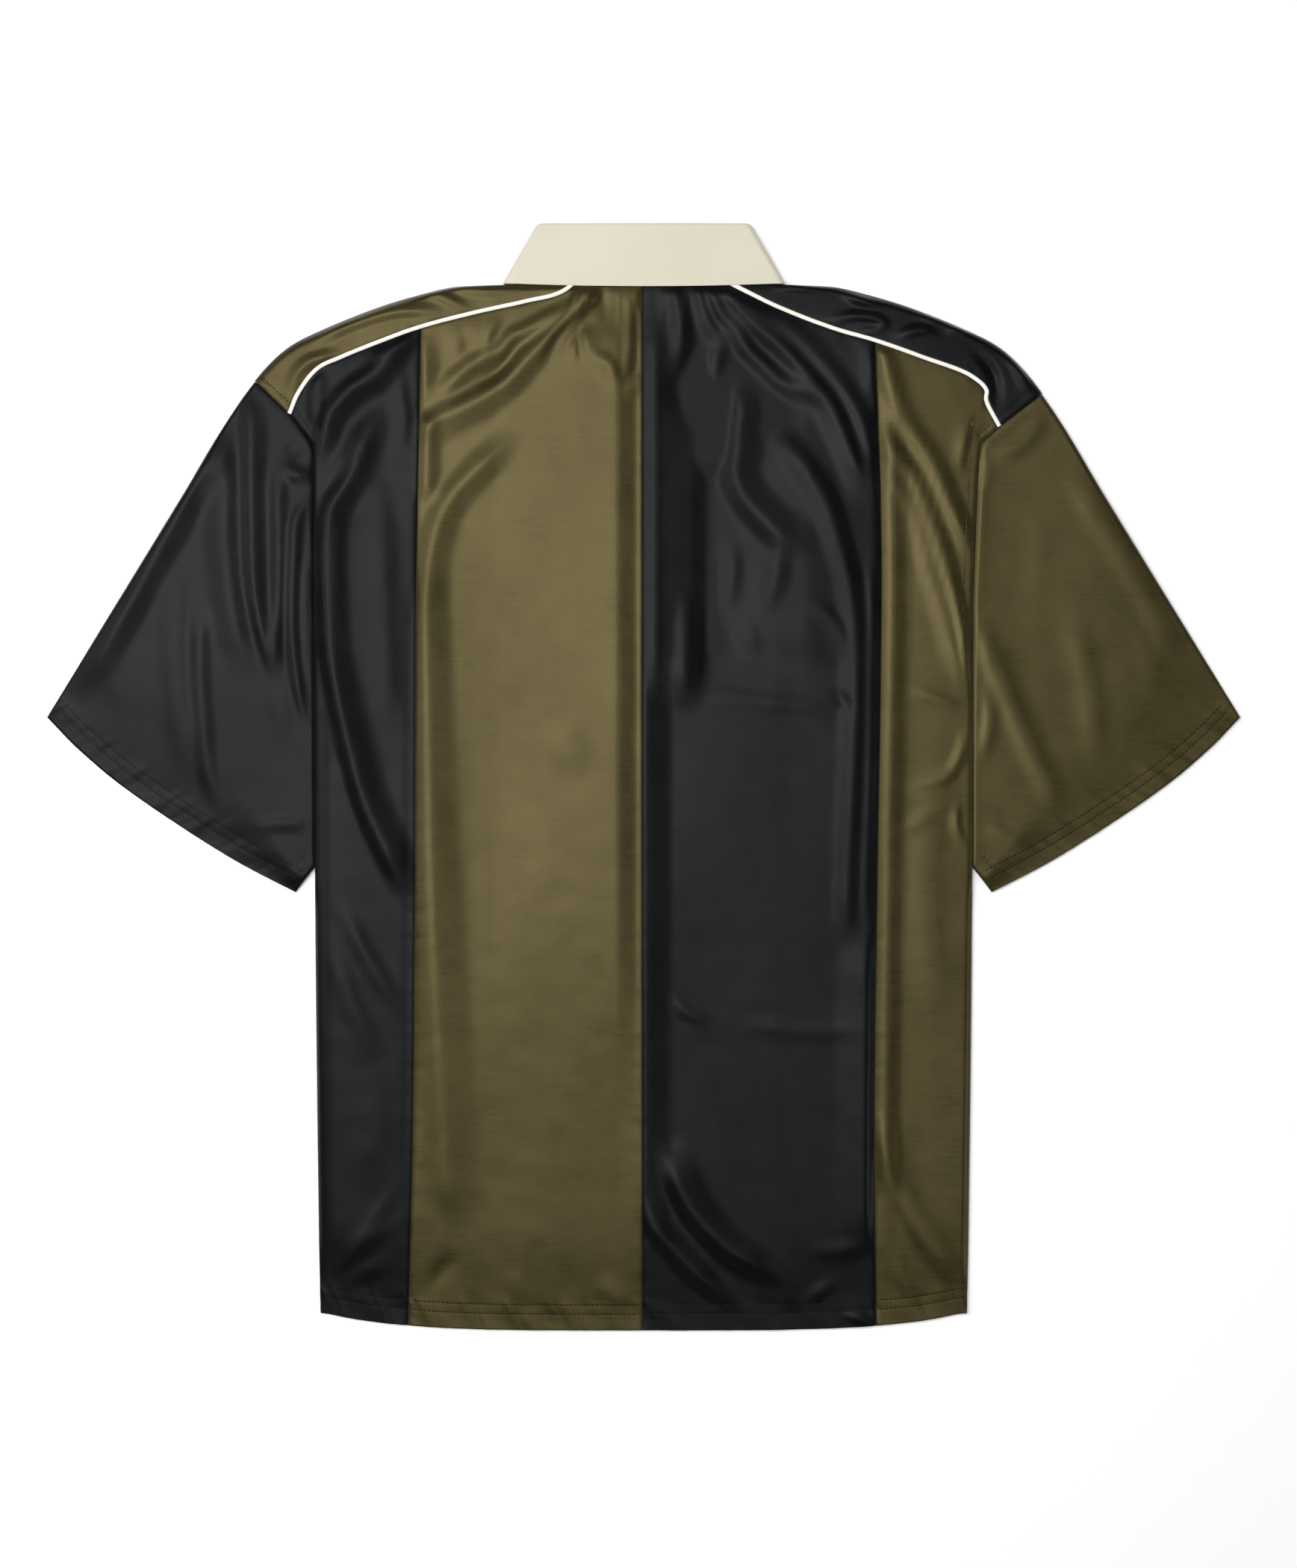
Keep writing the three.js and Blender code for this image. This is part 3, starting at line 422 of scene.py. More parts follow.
ROLLS = (
    Roll("left", -345, 138, ((-60, 0), (-9, 0.5), (-3, 0.1), (0, 0.8), (4, 1.2), (40, 0)), 120, 30),
    Roll("left", 184, 250, ((-50, 0), (-3, 0.1), (0, 0.8), (2, 0.9), (6, 2), (15, 0), (40, 0)), 16, 12),
    Roll("centre", -290, 326, ((-100, 0), (-16.5, 3.4), (-4.3, 0.1), (0, 0)), 210, 40),
    Roll(
        "centre", 44, 326,
        ((-16, 0), (-4.3, 1.0), (-0.5, 1.8), (4.3, 2.0), (8.3, 2.7), (30, 0.4), (60, 0)), 42, 40,
    ),
    Roll("centre", 44, 326, ((6, 0), (8.3, 0.2), (30, -3.1), (46, -3.5), (112, 0)), 50, 70),
    Roll("centre", -345, 86, ((-16, 0), (-4.3, 1), (-0.5, 1.8), (1.5, 2), (19, -1.4), (90, 0)), 90, 42),
    Roll(
        "right", -345, 275,
        ((-60, 0), (-5, 0.7), (-1.5, 0), (1, 0.2), (7, 1.6), (8, 1.6), (17.5, -0.6), (40, 0)), 90, 60,
    ),
)

# The creases of each piece, each with the fields of a Fold. Most run downwards, so that their left
# flank lies away from the light.
CREASE_ROWS = {
    "centre_left": (
        ((-30, 336, -41, 322, -56, 307, -68, 295, -80, 283, -92, 270, -108, 259, -124, 251, -141, 243,
           -149, 234, -151, 218), (6, 19), (9, 12), 3.1),
        ((-43, 333, -52, 322, -64, 313, -79, 304, -90, 299, -97, 291, -116, 281, -129, 270, -138, 261,
           -151, 246), (5, 10), (6, 10), 2.0),
        ((-84, 236, -105, 217, -117, 206, -129, 193, -138, 178, -144, 158, -147.5, 132, -148.5, 104),
           (12, 16), (14, 7), 2.7),
        ((-40, 318, -57, 301, -70, 280), (4, 5), (4, 5), -1.5),
        ((-84, 296, -96, 278, -116, 263), (5, 6), (5, 6), -1.3),
        ((-149, 308, -149.5, 290, -149, 268, -151, 243), (11, 9), 6, 2.0),
        ((-99, 319, -104, 306, -108, 294, -109, 282), (8, 6), 6, 1.4),
        ((-111, 317, -113.5, 302, -115, 286), 4, 4, 0.8),
        ((-118, 315, -119, 303, -120, 291), 4, 4, 0.7),
        ((-126, 312, -127, 297, -126, 281), (6, 5), 7, 0.9),
        ((-45, 290, -32, 286, -23, 281, -20, 272, -14, 259), 5, (10, 9), 1.6),
        ((4, 274, -6, 268, -15, 259), 9, 5, 1.4),
        ((-11, 334, -10, 310, -10, 288, -12, 274, -15, 260), 5, 5, 1.3),
        ((-22, 338, -22, 322, -23, 304), 4, 4, 0.9),
        ((-17, 338, -17, 320, -16.5, 300), 4, 3, 1.0),
        ((-5, 338, -6, 328, -4, 314), 3, 3, 0.7),
        ((-43, 336, -48, 323, -52, 312), 3, 3, 0.8),
        ((-38, 337, -43, 325, -47, 315), 3, 3, 0.7),
        ((-38, 309, -39, 298, -36, 284), (11, 9), 5, 1.2),
        ((-47, 302, -47.5, 292, -46, 280), 4, 4, 0.7),
        ((-60, 44, -50, 20, -34, 2), 16, 18, 1.1, SOFT),
        ((-149, 150, -148.5, 100, -147, 30, -145, -60, -141, -160, -136, -240, -133, -310), (16, 26),
           (9, 17), 2.9),
        ((-148, -288, -139, -314, -143, -338), 7, 8, 0.8, SOFT),
        ((-124, -320, -138, -338, -149, -354), 8, 7, -1.2, SOFT),
        ((-34, -338, -22, -352, -8, -361), 9, 8, 1.2, SOFT),
        ((-93, -332, -86, -350, -91, -364), 9, 9, 0.9, SOFT),
    ),
    "centre_right": (
        ((13, 338, 14, 322, 12, 304), 3, 4, 0.8),
        ((20, 338, 25, 312, 26, 292, 20, 267), (7, 10), (9, 10), 2.5),
        ((28, 338, 29, 326, 30, 312), 3, 3, 0.7),
        ((35, 338, 41, 318, 48, 305, 68, 296), (4, 5), (6, 12), 1.7),
        ((58, 301, 50, 286, 49, 272, 54, 260), (12, 10), 10, 2.3),
        ((31, 266, 30, 220, 30, 170, 30, 120, 29, 76, 26, 40), 14, (20, 16), 2.4),
        ((108, 246, 111, 205, 112, 160, 108, 110, 96, 70), (30, 40), (56, 50), 2.8, SOFT),
        ((42, 337, 52, 316, 64, 303, 71, 291, 80, 282, 96, 268, 112, 261, 128, 251), (6, 10), (7, 13),
           2.6),
        ((48, 336, 70, 313, 94, 293, 112, 273, 124, 259, 135, 236, 142, 219, 149, 202, 153, 180), 9,
           (9, 15), 3.2),
        ((56, 336, 77, 317, 102, 301, 121, 282, 137, 262, 147, 244, 153, 222, 157, 200, 159, 178),
           (14, 6), 7, 2.0),
        ((152, 302, 155, 280, 154.5, 256), 3, (10, 7), 1.0),
        ((48, 276, 60, 265, 66, 255, 65, 240, 64, 225, 62, 209, 65, 197, 75, 183, 91, 167, 118, 151),
           (19, 16), (11, 14), 3.6),
        ((86, 243, 99, 225, 115, 203, 126, 183, 133, 160, 140, 132, 144, 95, 144, 57, 142, 0,
           139, -60, 137, -116), (10, 9), (13, 9), 2.3),
        ((153, 154, 155, 110, 154.5, 60, 153.5, 0, 151, -60, 150, -108), 4, 4, 1.0),
        ((58, 168, 61, 142, 56, 108), 8, (10, 8), 1.2),
        ((88, 174, 91, 142, 79, 105), (12, 8), (15, 10), 1.8),
        ((69, 114, 72, 96, 79, 78), 8, 9, 1.0, SOFT),
        ((110, 122, 130, 106, 137, 78), 5, (12, 8), 1.3),
        ((34, 55, 60, 54, 90, 51, 120, 49, 144, 50), (6, 7), 8, 0.9, SOFT),
        ((28, 134, 28.5, 100, 28, 70, 24, 42), (14, 10), (6, 11), 1.7),
        ((126, 60, 136, 52, 143, 42), 5, 5, -1.0),
        ((16, -146, 30, -160, 50, -166), 5, 7, 1.3),
        ((60, -166, 90, -171, 124, -173, 156, -170), 7, 7, 1.0, SOFT),
        ((152, -100, 151, -220, 150, -330), 5, 20, 3.0),
        ((14, -244, 24, -280, 38, -302, 58, -322, 98, -345), (20, 16), (10, 9), 4.6),
        ((3, -280, 8, -306, 26, -328, 44, -346, 66, -362), (14, 11), 8, 3.8),
        ((106, -321, 132, -322, 159, -316), 7, 8, 1.4, SOFT),
        ((110, -358, 120, -350, 132, -341), 6, 6, 1.2),
        ((132, -366, 144, -368, 159, -373), 5, 5, 1.1),
        ((83, -326, 98, -346, 103, -364), 8, 8, 1.2, SOFT),
    ),
    "side_left": (
        ((-158, 330, -166, 302, -176, 284, -183, 274, -198, 265, -207, 256, -214, 246, -218, 228,
           -223, 206), (14, 13), (9, 8), 4.0),
        ((-216, 288, -220, 268, -221, 250, -221, 230), 4, (10, 8), -3.0),
        ((-188, 295, -190, 281, -194, 266), 4, 4, 0.9),
        ((-196, 289, -203, 275, -209, 264), 4, 4, 0.8),
        ((-176, 299, -181, 289, -185, 279), 3, 4, 0.8),
        ((-176, 256, -186, 240, -194, 222, -199, 207, -206, 195, -213, 183, -216, 165, -217, 150,
           -216, 120, -214, 86, -209, 58, -201, 22, -190, -18, -176, -50, -161, -84), (14, 18), 8,
           4.4),
        ((-207, 190, -209, 0, -207, -345), 44, 13, 2.6, SOFT),
        ((-189, 249, -198, 232, -204, 218, -212, 205, -224, 199), (5, 6), (8, 6), 1.5),
        ((-192, 212, -184, 196, -179, 165, -177, 120, -175, 70, -173, 30), (11, 10), 10, 1.6, SOFT),
        ((-166, 288, -165, 262, -163, 240, -169, 212), 6, 8, 1.2),
        ((-208, -80, -190, -118, -163, -164), 8, 9, 1.5),
        ((-214, -106, -196, -160, -176, -192), 9, 10, 1.1, SOFT),
        ((-190, -196, -182, -240, -197, -282), 14, 15, 1.1, SOFT),
        ((-217, -348, -192, -318, -162, -297), 8, 9, 1.2),
        ((-208, -328, -186, -304, -164, -270), 7, 8, 0.8),
        ((-214, -354, -190, -336, -166, -330), 7, 8, 1.1, SOFT),
    ),
    "side_right": (
        ((159, 244, 172, 220, 183, 205, 195, 178, 204, 152, 212, 122, 217, 96, 220, 52), (9, 5), 9,
           2.3),
        ((162, 226, 172, 203, 184, 180, 195, 142, 205, 108, 215, 56), 5, 8, 1.3),
        ((155, 336, 160, 302, 170, 262, 178, 242, 196, 214, 210, 182, 227, 142), 9, (9, 8), 2.6),
        ((223, 250, 218, 226, 214, 202), 4, 8, 1.2),
        ((176, -2, 192, -4, 206, 1, 215, 14, 220, 38), 6, 6, 1.3),
        ((176, 62, 196, 55, 221, 45), 6, 8, 1.1),
        ((200, -21, 188, -30, 174, -35), 6, 6, 1.0, SOFT),
        ((214, -14, 213, -32, 219, -50), 4, 6, 1.0),
        ((160, -222, 167, -262, 178, -292, 196, -320, 221, -352), (15, 17), 9, 2.6, SOFT),
        ((168, -314, 176, -342, 191, -366), 8, 8, 1.2, SOFT),
        ((202, 24, 192, -80, 202, -166), (15, 14), (16, 14), 1.0, SOFT),
    ),
    "yokes": (
        ((-237, 288, -205, 305, -175, 315, -158, 317, -144, 316, -130, 309), 6, (6, 5), 1.5),
        ((-156, 332, -138, 327, -126, 321, -114, 314), 5, 5, 1.3),
        ((-132, 336, -108, 331, -80, 333), 4, 6, 1.1),
        ((-243, 252, -237, 272, -228, 282, -214, 286, -198, 284), 6, 5, 1.5),
        ((84, 333, 104, 333, 126, 330), 4, 4, 1.6),
        ((132, 332, 146, 325, 166, 320), 5, 5, 2.4),
        ((118, 308, 138, 313, 154, 313, 163, 309, 158, 304, 144, 303), (5, 4), (5, 4), 2.0),
        ((168, 297, 188, 304, 203, 299), 5, 5, 2.3),
        ((203, 303, 214, 305, 226, 300), 4, 5, 2.0),
        ((184, 318, 198, 312, 214, 313), 4, 5, 1.6),
        ((238, 295, 252, 284, 264, 258), 6, 6, 2.4),
        ((220, 293, 236, 278, 240, 264, 238, 246), (5, 6), (5, 6), -2.2),
    ),
    "sleeve_left": (
        ((-269, 272, -268.5, 225, -268, 180, -266, 130, -260, 97, -252, 66), (14, 10), (6, 5), 3.1),
        ((-285, 244, -285, 200, -285, 160, -281, 120, -275, 92, -264, 68), 11, 16, 2.2),
        ((-249, 224, -249, 190, -248.5, 150, -249.5, 110, -252, 62), (8, 7), (7, 6), 1.9),
        ((-226, 200, -231, 186, -237, 174, -238.5, 150, -239.5, 125, -239.5, 100, -238, 80, -234, 56,
           -226, 28), 7, 5, 2.0),
        ((-224, 172, -229, 142, -230, 112, -228.5, 82, -225, 48), 5, 4, 1.2),
        ((-221, 202, -232, 205, -241, 208, -246, 216), 6, (6, 5), 2.2),
        ((-228, 230, -238, 224, -241, 214), 6, 6, -1.4),
        ((-302, 126, -302, 70, -300, 40, -297, 5, -289, -30), (9, 8), 8, 1.7),
        ((-317, 154, -319, 90, -309, -8), 10, 13, 1.4, SOFT),
        ((-284, 236, -315, 182, -345, 126, -371, 80, -388, 48), 14, 12, 3.4),
        ((-270, -35, -248, -31, -222, -32), 5, 7, 1.1),
        ((-250, 74, -248, 44, -244, 20), 12, 8, 0.9, SOFT),
        ((-356, 94, -360, 64, -357, 36), 9, 11, 0.9, SOFT),
        ((-398, 64, -392, 55, -394, 44), 6, 6, -0.8, SOFT),
    ),
    "sleeve_right": (
        ((290, 118, 303, 62, 309, 0), 11, 11, 0.9, SOFT),
        ((218, 112, 236, 80, 252, 44, 268, 8, 286, -26), 12, 9, 1.6, SOFT),
        ((229, 70, 235, 44, 231, 22, 220, 2), 8, 6, 1.1, SOFT),
        ((228, 219, 245, 221, 260, 229, 274, 252), 7, 9, 1.5),
        ((286, 214, 326, 150, 366, 78), 12, 10, 1.2, SOFT),
        ((338, 114, 348, 70, 340, 26), 12, 14, 0.4, SOFT),
        ((262, 194, 270, 150, 262, 106), 10, 11, 0.4, SOFT),
        ((230, -28, 246, -41, 270, -46), 6, 7, 0.9, SOFT),
    ),
}
CREASES = {piece: [Fold(*row) for row in rows] for piece, rows in CREASE_ROWS.items()}
BROAD_RISES = (
    Fold((-36, 352, -110, 324, -180, 303, -244, 265), (52, 48), 36, 3.2, SOFT),
    Fold((36, 352, 110, 320, 180, 295, 248, 257), 36, (52, 48), 1.6, SOFT),
    Fold((-70, 352, 0, 347, 70, 352), 34, 34, 1.6, SOFT),
)
SWELL = Waves(seed=13, count=12, shortest=80, longest=190, height=0.2)
RUMPLE = Waves(seed=14, count=16, shortest=14, longest=34, height=0.03)
PUCKER = Waves(seed=15, count=7, shortest=6.5, longest=12, height=0.16)
RIPPLE = Waves(seed=16, count=6, shortest=16, longest=48, height=0.2)

PIPING_HALF_GAP = 0.2
# Shares of the armhole seam, from the underarm up.
ARMHOLE_STRAIGHT = 0.775
ARMHOLE_KINK = 0.817
ARMHOLE_PIPE = 0.903
OUTLINE_Y = Curve(OUTLINE)
SLEEVE_HEM_Y = Curve(SLEEVE_HEM)


@dataclass
class Side:
    """One half of the shirt in its own frame, x measured outwards from the middle."""

    name: str
    sign: int  # -1 at the left and 1 at the right, seen from above
    centre_x: float  # where the centre seam lies
    kink: Span  # where the armhole seam leaves the side fold
    corner: Span  # top of the armhole seam
    piping: Rows  # the yoke seam from the armhole to the neck
    seam: Rows  # the side seam, y and x
    edge: Rows  # the side fold, y and x

    def __post_init__(self) -> None:
        """Make the smooth curves of the tables."""
        self.yoke_line = Spline(self.piping)
        self.piping_y = Curve(sorted(self.piping))
        self.seam_x, self.edge_x = Curve(self.seam), Curve(self.edge)
        self.seam_hem_x, self.hem_corner_y = self.seam[0][1], self.edge[0][0]

    def yoke_seam(self, share: Number, toward: int) -> Array:
        """Return points beside the yoke seam, 1 toward the yoke or -1 toward the panels."""
        run = self.yoke_line.run(share) * PIPING_HALF_GAP * toward
        return self.yoke_line.at(share) + plan_points(run[..., 1], -run[..., 0])

    def armhole_legs(self) -> list[Leg]:
        """Return the armhole seam's legs from the underarm up.

        Returns:
            Each leg's end: x, y and share.
        """
        (kink_x, kink_y), (pipe_x, pipe_y) = self.kink, self.piping[0]
        top_x = self.corner[0] + GAP
        return [
            (*UNDERARM, 0.0),
            (UNDERARM[0], kink_y - 11.5, ARMHOLE_STRAIGHT),
            (kink_x + GAP, kink_y + 0.1, ARMHOLE_KINK),
            (pipe_x + GAP, pipe_y - 0.15, ARMHOLE_PIPE),
            (top_x, float(OUTLINE_Y(top_x)), 1.0),
        ]

    def place(self, plan: Array, z: Array) -> Array:
        """Return this half's plan points, with their heights, in the shirt's frame."""
        return np.stack([self.sign * plan[..., 0], plan[..., 1], z], axis=-1)


LEFT = Side(
    name="left",
    sign=-1,
    centre_x=0.8,
    kink=(223.5, 223.5),
    corner=(264.5, 269.7),
    piping=(
        (241, 247.3), (234.5, 262), (222, 277.5), (205, 285.8), (172, 299), (151.5, 306.2),
        (114, 316), (80, 323.5), (55, 330.3), (NECK_HALF, NECK_Y),
    ),
    seam=((-372, 160.5), (-250, 157.5), (-100, 156), (150, 154.5), (306.2, 151.5)),
    edge=((-365, HEM_HALF), (-187, 222.3), (-65, 223.3), (223.5, 223.5)),
)
RIGHT = Side(
    name="right",
    sign=1,
    centre_x=-0.8,
    kink=(229, 226.5),
    corner=(271, 260.8),
    piping=(
        (242, 238.7), (233, 256.5), (233, 263.5), (222, 273.3), (190, 285.5), (157.5, 297),
        (130, 305), (91, 320), (62, 334.3), (NECK_HALF, NECK_Y),
    ),
    seam=((-372, 158.5), (-240, 156.8), (-60, 159), (60, 161), (160, 161.5), (297, 157.5)),
    edge=((-365, HEM_HALF), (-187, 222.3), (-65, 223.3), (110, 223.8), (190, 226.5), (226.5, 229)),
)


def hem_y(x: Number) -> Array:
    """Return how high the body's hem lies at x."""
    return HEM_Y + HEM_RISE * (np.asarray(x) / HEM_HALF) ** 4


def front_height(x: Array, y: Array) -> Array:
    """Return the middle of the front cloth, which lies over the collar's wings and the buttons.

    Args:
        x: Distance from the middle of the shirt.
        y: The points' y.

    Returns:
        The heights.
    """
    half = np.abs(x)
    over_wings = smooth((y - 200) / 20) * smooth((118 - half) / 16)
    over_buttons = smooth((PLACKET_HALF + 25 - half) / 23) * smooth((y - 110) / 38)
    return FRONT_Z + np.maximum(WING_LIFT * over_wings, PLACKET_LIFT * over_buttons)


def rolls_rise(x: Array, y: Array) -> Array:
    """Return what the rolls beside the long seams add at points in the shirt's frame."""
    beside = {"left": x + LEFT.seam_x(y), "centre": x + LEFT.centre_x, "right": x - RIGHT.seam_x(y)}
    return sum(roll.rise_at(beside[roll.seam], y) for roll in ROLLS)


def back_height(side: Side, x: Array, y: Array, creases: Sequence[Fold]) -> Array:
    """Return the middle of the back cloth.

    Args:
        side: The half that the points are in.
        x: Distance outwards from the middle of the shirt.
        y: The points' y.
        creases: The piece's creases.

    Returns:
        The heights.
    """
    world_x = side.sign * x
    to_hem = 1 - smooth((y - hem_y(x)) / 70)
    above_piping = y - side.piping_y(x)
    calm_width = np.where(above_piping > 0, FOLD_CALM / 2, FOLD_CALM)
    calm_piping = np.where(x > NECK_HALF, smooth(np.abs(above_piping) / calm_width), 1)
    calm_neck = smooth((LEAF_EDGE_Y + 5 - y) / FOLD_CALM)
    folds = folds_rise(creases, world_x, y)
    slack = SWELL.at(world_x, y) + RUMPLE.at(world_x, y) + folds_rise(BROAD_RISES, world_x, y)
    open_height = lerp(BACK_Z, FRONT_EDGE_Z, to_hem) + (folds * calm_piping + slack) * calm_neck
    open_height = open_height + rolls_rise(world_x, y) * calm_neck
    return np.maximum(open_height, front_height(x, y) + LAYER + 0.1)


def sleeve_height(side: Side, x: Array, y: Array, creases: Sequence[Fold]) -> Array:
    """Return the middle of a sleeve's back layer.

    Args:
        side: The half that the points are in.
        x: Distance outwards from the middle of the shirt.
        y: The points' y.
        creases: The sleeve's creases.

    Returns:
        The heights.
    """
    world_x = side.sign * x
    out = x - side.edge_x(np.clip(y, side.hem_corner_y, side.kink[1]))
    tucked = (1 - smooth(out / 1.8)) * (1 - smooth((y - side.kink[1]) / 22))
    to_seam = np.abs(y - side.kink[1] - (x - side.kink[0])) / 2
    calm = smooth(out / 12) * smooth(to_seam / FOLD_CALM)
    slack = SWELL.at(world_x, y) + RUMPLE.at(world_x, y)
    open_height = SLEEVE_Z + (folds_rise(creases, world_x, y) + slack) * calm
    return lerp(np.maximum(open_height, FRONT_EDGE_Z), TUCK_Z, tucked)


# Meshes

TUCK_REACH = 1.3  # how far from a seam the cloth turns down
GATHER_REACH = 7.0  # and how far its small gathers run
GATHER_SHARE = 0.45
STITCH_HALF = 0.95


def seam_tuck(away: Array, along: Array, drop: float = 0.8, puckers: float = 1.0) -> Array:
    """Return how a seam draws the cloth in: its drop right at the seam, with gathers beside it."""
    gathers = GATHER_SHARE * PUCKER.at(along, away * 0.35) * np.exp(-away / GATHER_REACH)
    return gathers * puckers - drop * np.exp(-away / TUCK_REACH)


def stitch_groove(away: Array, row: float, depth: float = 0.08) -> Array:
    """Return how stitches, a row's distance from an edge, press the cloth."""
    return -depth * np.exp(-(((away - row) / STITCH_HALF) ** 2))


def hem_relief(away: Array, along: Array, rows: Sequence[float], puckers: float) -> Array:
    """Return the shape of a turned and twice stitched hem.

    Args:
        away: Distance from the hem's edge.
        along: Place along the hem.
        rows: Distances of the stitch rows from the edge.
        puckers: Strength of the small slanting gathers that the stitches make.

    Returns:
        The heights to add.
    """
    deepest = max(rows)
    in_hem = smooth((deepest + 3.5 - away) / 3.0)
    gathers = PUCKER.at(along + away * 0.5, away * 0.25) + RIPPLE.at(along + away, away * 0.3)
    reach = np.exp(-np.maximum(away - deepest, 0) / 6.0)
    grooves = sum(stitch_groove(away, row) for row in rows)
    return 0.06 * in_hem + grooves + gathers * puckers * reach


@dataclass
class Made:
    thing: Thing
    ground: BVHTree
    flat: Span = (0.0, 0.0)
    area: float = 0.0
    trims: list[Thing] = field(default_factory=list)

    def find(self, x: float, y: float) -> tuple[Vector, Vector] | None:
        """Find the cloth straight below a plan point.

        Args:
            x: The point's x in the shirt's frame.
            y: The point's y.

        Returns:
            The point on the cloth and its upward normal, or nothing beside the cloth.
        """
        hit, normal, _, _ = self.ground.ray_cast(Vector((x, y, 60.0)), Vector((0, 0, -1)))
        if hit is None:
            return None
        return hit, (normal if normal.z > 0 else -normal)

    def cut(self, plan: Array, folded: bool = False) -> "Made":
        """Note the flat size of a cloth.

        Args:
            plan: The grid of its plan points.
            folded: Whether it is doubled over the grid's last column.

        Returns:
            The same cloth.
        """
        edge = np.vstack([plan[:, 0], plan[-1, :], plan[::-1, -1], plan[0, ::-1]])
        x, y = edge.T
        area = 0.5 * abs(float(np.dot(x, np.roll(y, -1)) - np.dot(y, np.roll(x, -1))))
        if folded:
            run = (plan[-1, -1] - plan[-1, 0]) / distance(plan[-1, -1], plan[-1, 0])
            reach = edge - plan[-1, 0]
            mirrored = plan[-1, 0] + 2 * (reach @ run)[:, None] * run - reach
            edge, area = np.vstack([edge, mirrored]), 2 * area
        boxes = []
        for degrees in range(0, 90, 2):
            c, s = math.cos(math.radians(degrees)), math.sin(math.radians(degrees))
            boxes.append(tuple(float(np.ptp(edge @ np.array(way))) * MM for way in ((c, s), (-s, c))))
        self.flat = min(boxes, key=lambda size: size[0] * size[1])
        self.area = area * MM * MM
        return self


def mesh_piece(name: str, points: Array, faces: Array | list) -> Made:
    """Make a smooth mesh object.

    Args:
        name: The piece's name.
        points: Its vertices in mm, x, y and z last.
        faces: Its faces as rows of vertex numbers.

    Returns:
        The made piece.
    """
    points = points.reshape(-1, 3)
    rows = faces.tolist() if isinstance(faces, np.ndarray) else faces
    mesh = bpy.data.meshes.new(name)
    mesh.from_pydata((points * MM).tolist(), [], rows)
    mesh.polygons.foreach_set("use_smooth", [True] * len(mesh.polygons))
    mesh.update()
    thing = bpy.data.objects.new(name, mesh)
    bpy.context.scene.collection.objects.link(thing)
    return Made(thing, BVHTree.FromPolygons(points.tolist(), rows))


def quads(a: Array, b: Array, c: Array, d: Array) -> Array:
    """Return faces of four vertex numbers."""
    return np.stack([a, b, c, d], -1).reshape(-1, 4)


def cloth_wall(name: str, middle: Array, thickness: float, closed: bool = False) -> Made:
    """Make a wall of cloth about its middle surface.

    Args:
        name: The piece's name.
        middle: Points of the middle surface in mm: columns, rows, and x, y, z last.
        thickness: Thickness of the cloth in mm.
        closed: Whether the wall is a tube round its columns.

    Returns:
        The made piece.
    """
    if closed:
        across = np.roll(middle, -1, axis=0) - np.roll(middle, 1, axis=0)
    else:
        across = np.gradient(middle, axis=0)
    normal = np.cross(across, np.gradient(middle, axis=1))
    normal *= thickness / 2 / distance(normal, 0.0)[..., None]
    columns, rows, _ = middle.shape
    up = np.arange(columns * rows).reshape(columns, rows)
    if closed:
        up = np.vstack([up, up[:1]])
    low = up + columns * rows
    faces = [
        quads(up[:-1, :-1], up[1:, :-1], up[1:, 1:], up[:-1, 1:]),
        quads(low[:-1, :-1], low[:-1, 1:], low[1:, 1:], low[1:, :-1]),
        quads(up[:-1, 0], low[:-1, 0], low[1:, 0], up[1:, 0]),
        quads(up[:-1, -1], up[1:, -1], low[1:, -1], low[:-1, -1]),
    ]
    if not closed:
        faces.append(quads(up[0, :-1], up[0, 1:], low[0, 1:], low[0, :-1]))
        faces.append(quads(up[-1, :-1], low[-1, :-1], low[-1, 1:], up[-1, 1:]))
    return mesh_piece(name, np.stack([middle + normal, middle - normal]), np.vstack(faces))


# Finishes

NOISE_ENDS = (0.3, 0.7)  # the dark and the light places of noise


def srgb(red: int, green: int, blue: int) -> Colour:
    """Return a linear colour from its usual 0 to 255 screen values."""
    shares = (red / 255, green / 255, blue / 255)
    return tuple(s / 12.92 if s <= 0.04045 else ((s + 0.055) / 1.055) ** 2.4 for s in shares)


class Bench:
    """The nodes of a material or of the room, put together."""

    def __init__(self, owner: bpy.types.Material | bpy.types.World, place: str) -> None:
        """Start the nodes of their owner with the coordinates of the given kind."""
        owner.use_nodes = True
        self.nodes, self.links = owner.node_tree.nodes, owner.node_tree.links
        self.place = self.add("TexCoord", place, {})

    def feed(self, node: bpy.types.Node, sockets: dict) -> None:
        """Fill a node's inputs.

        Args:
            node: The node.
            sockets: Each input's name or number with its value, or the output to link to it.
        """
        for key, value in sockets.items():
            if isinstance(value, Socket):
                self.links.new(value, node.inputs[key])
            else:
                node.inputs[key].default_value = value

    def add(self, kind: str, output: str | int, sockets: dict, **settings: str) -> Socket:
        """Add a node.

        Args:
            kind: The node's kind.
            output: Name or number of the output that is used.
            sockets: Its inputs, as feed takes them.
            settings: Its own settings.

        Returns:
            The output.
        """
        node = self.nodes.new(f"ShaderNode{kind}")
        for key, value in settings.items():
            setattr(node, key, value)
        self.feed(node, sockets)
        return node.outputs[output]

    def spread(self, value: Socket, low: float, high: float, ends: Span = NOISE_ENDS) -> Socket:
        """Return a value spread so that what lies between its ends runs from low to high."""
        ranges = {"From Min": ends[0], "From Max": ends[1], "To Min": low, "To Max": high}
        return self.add("MapRange", "Result", {"Value": value} | ranges)


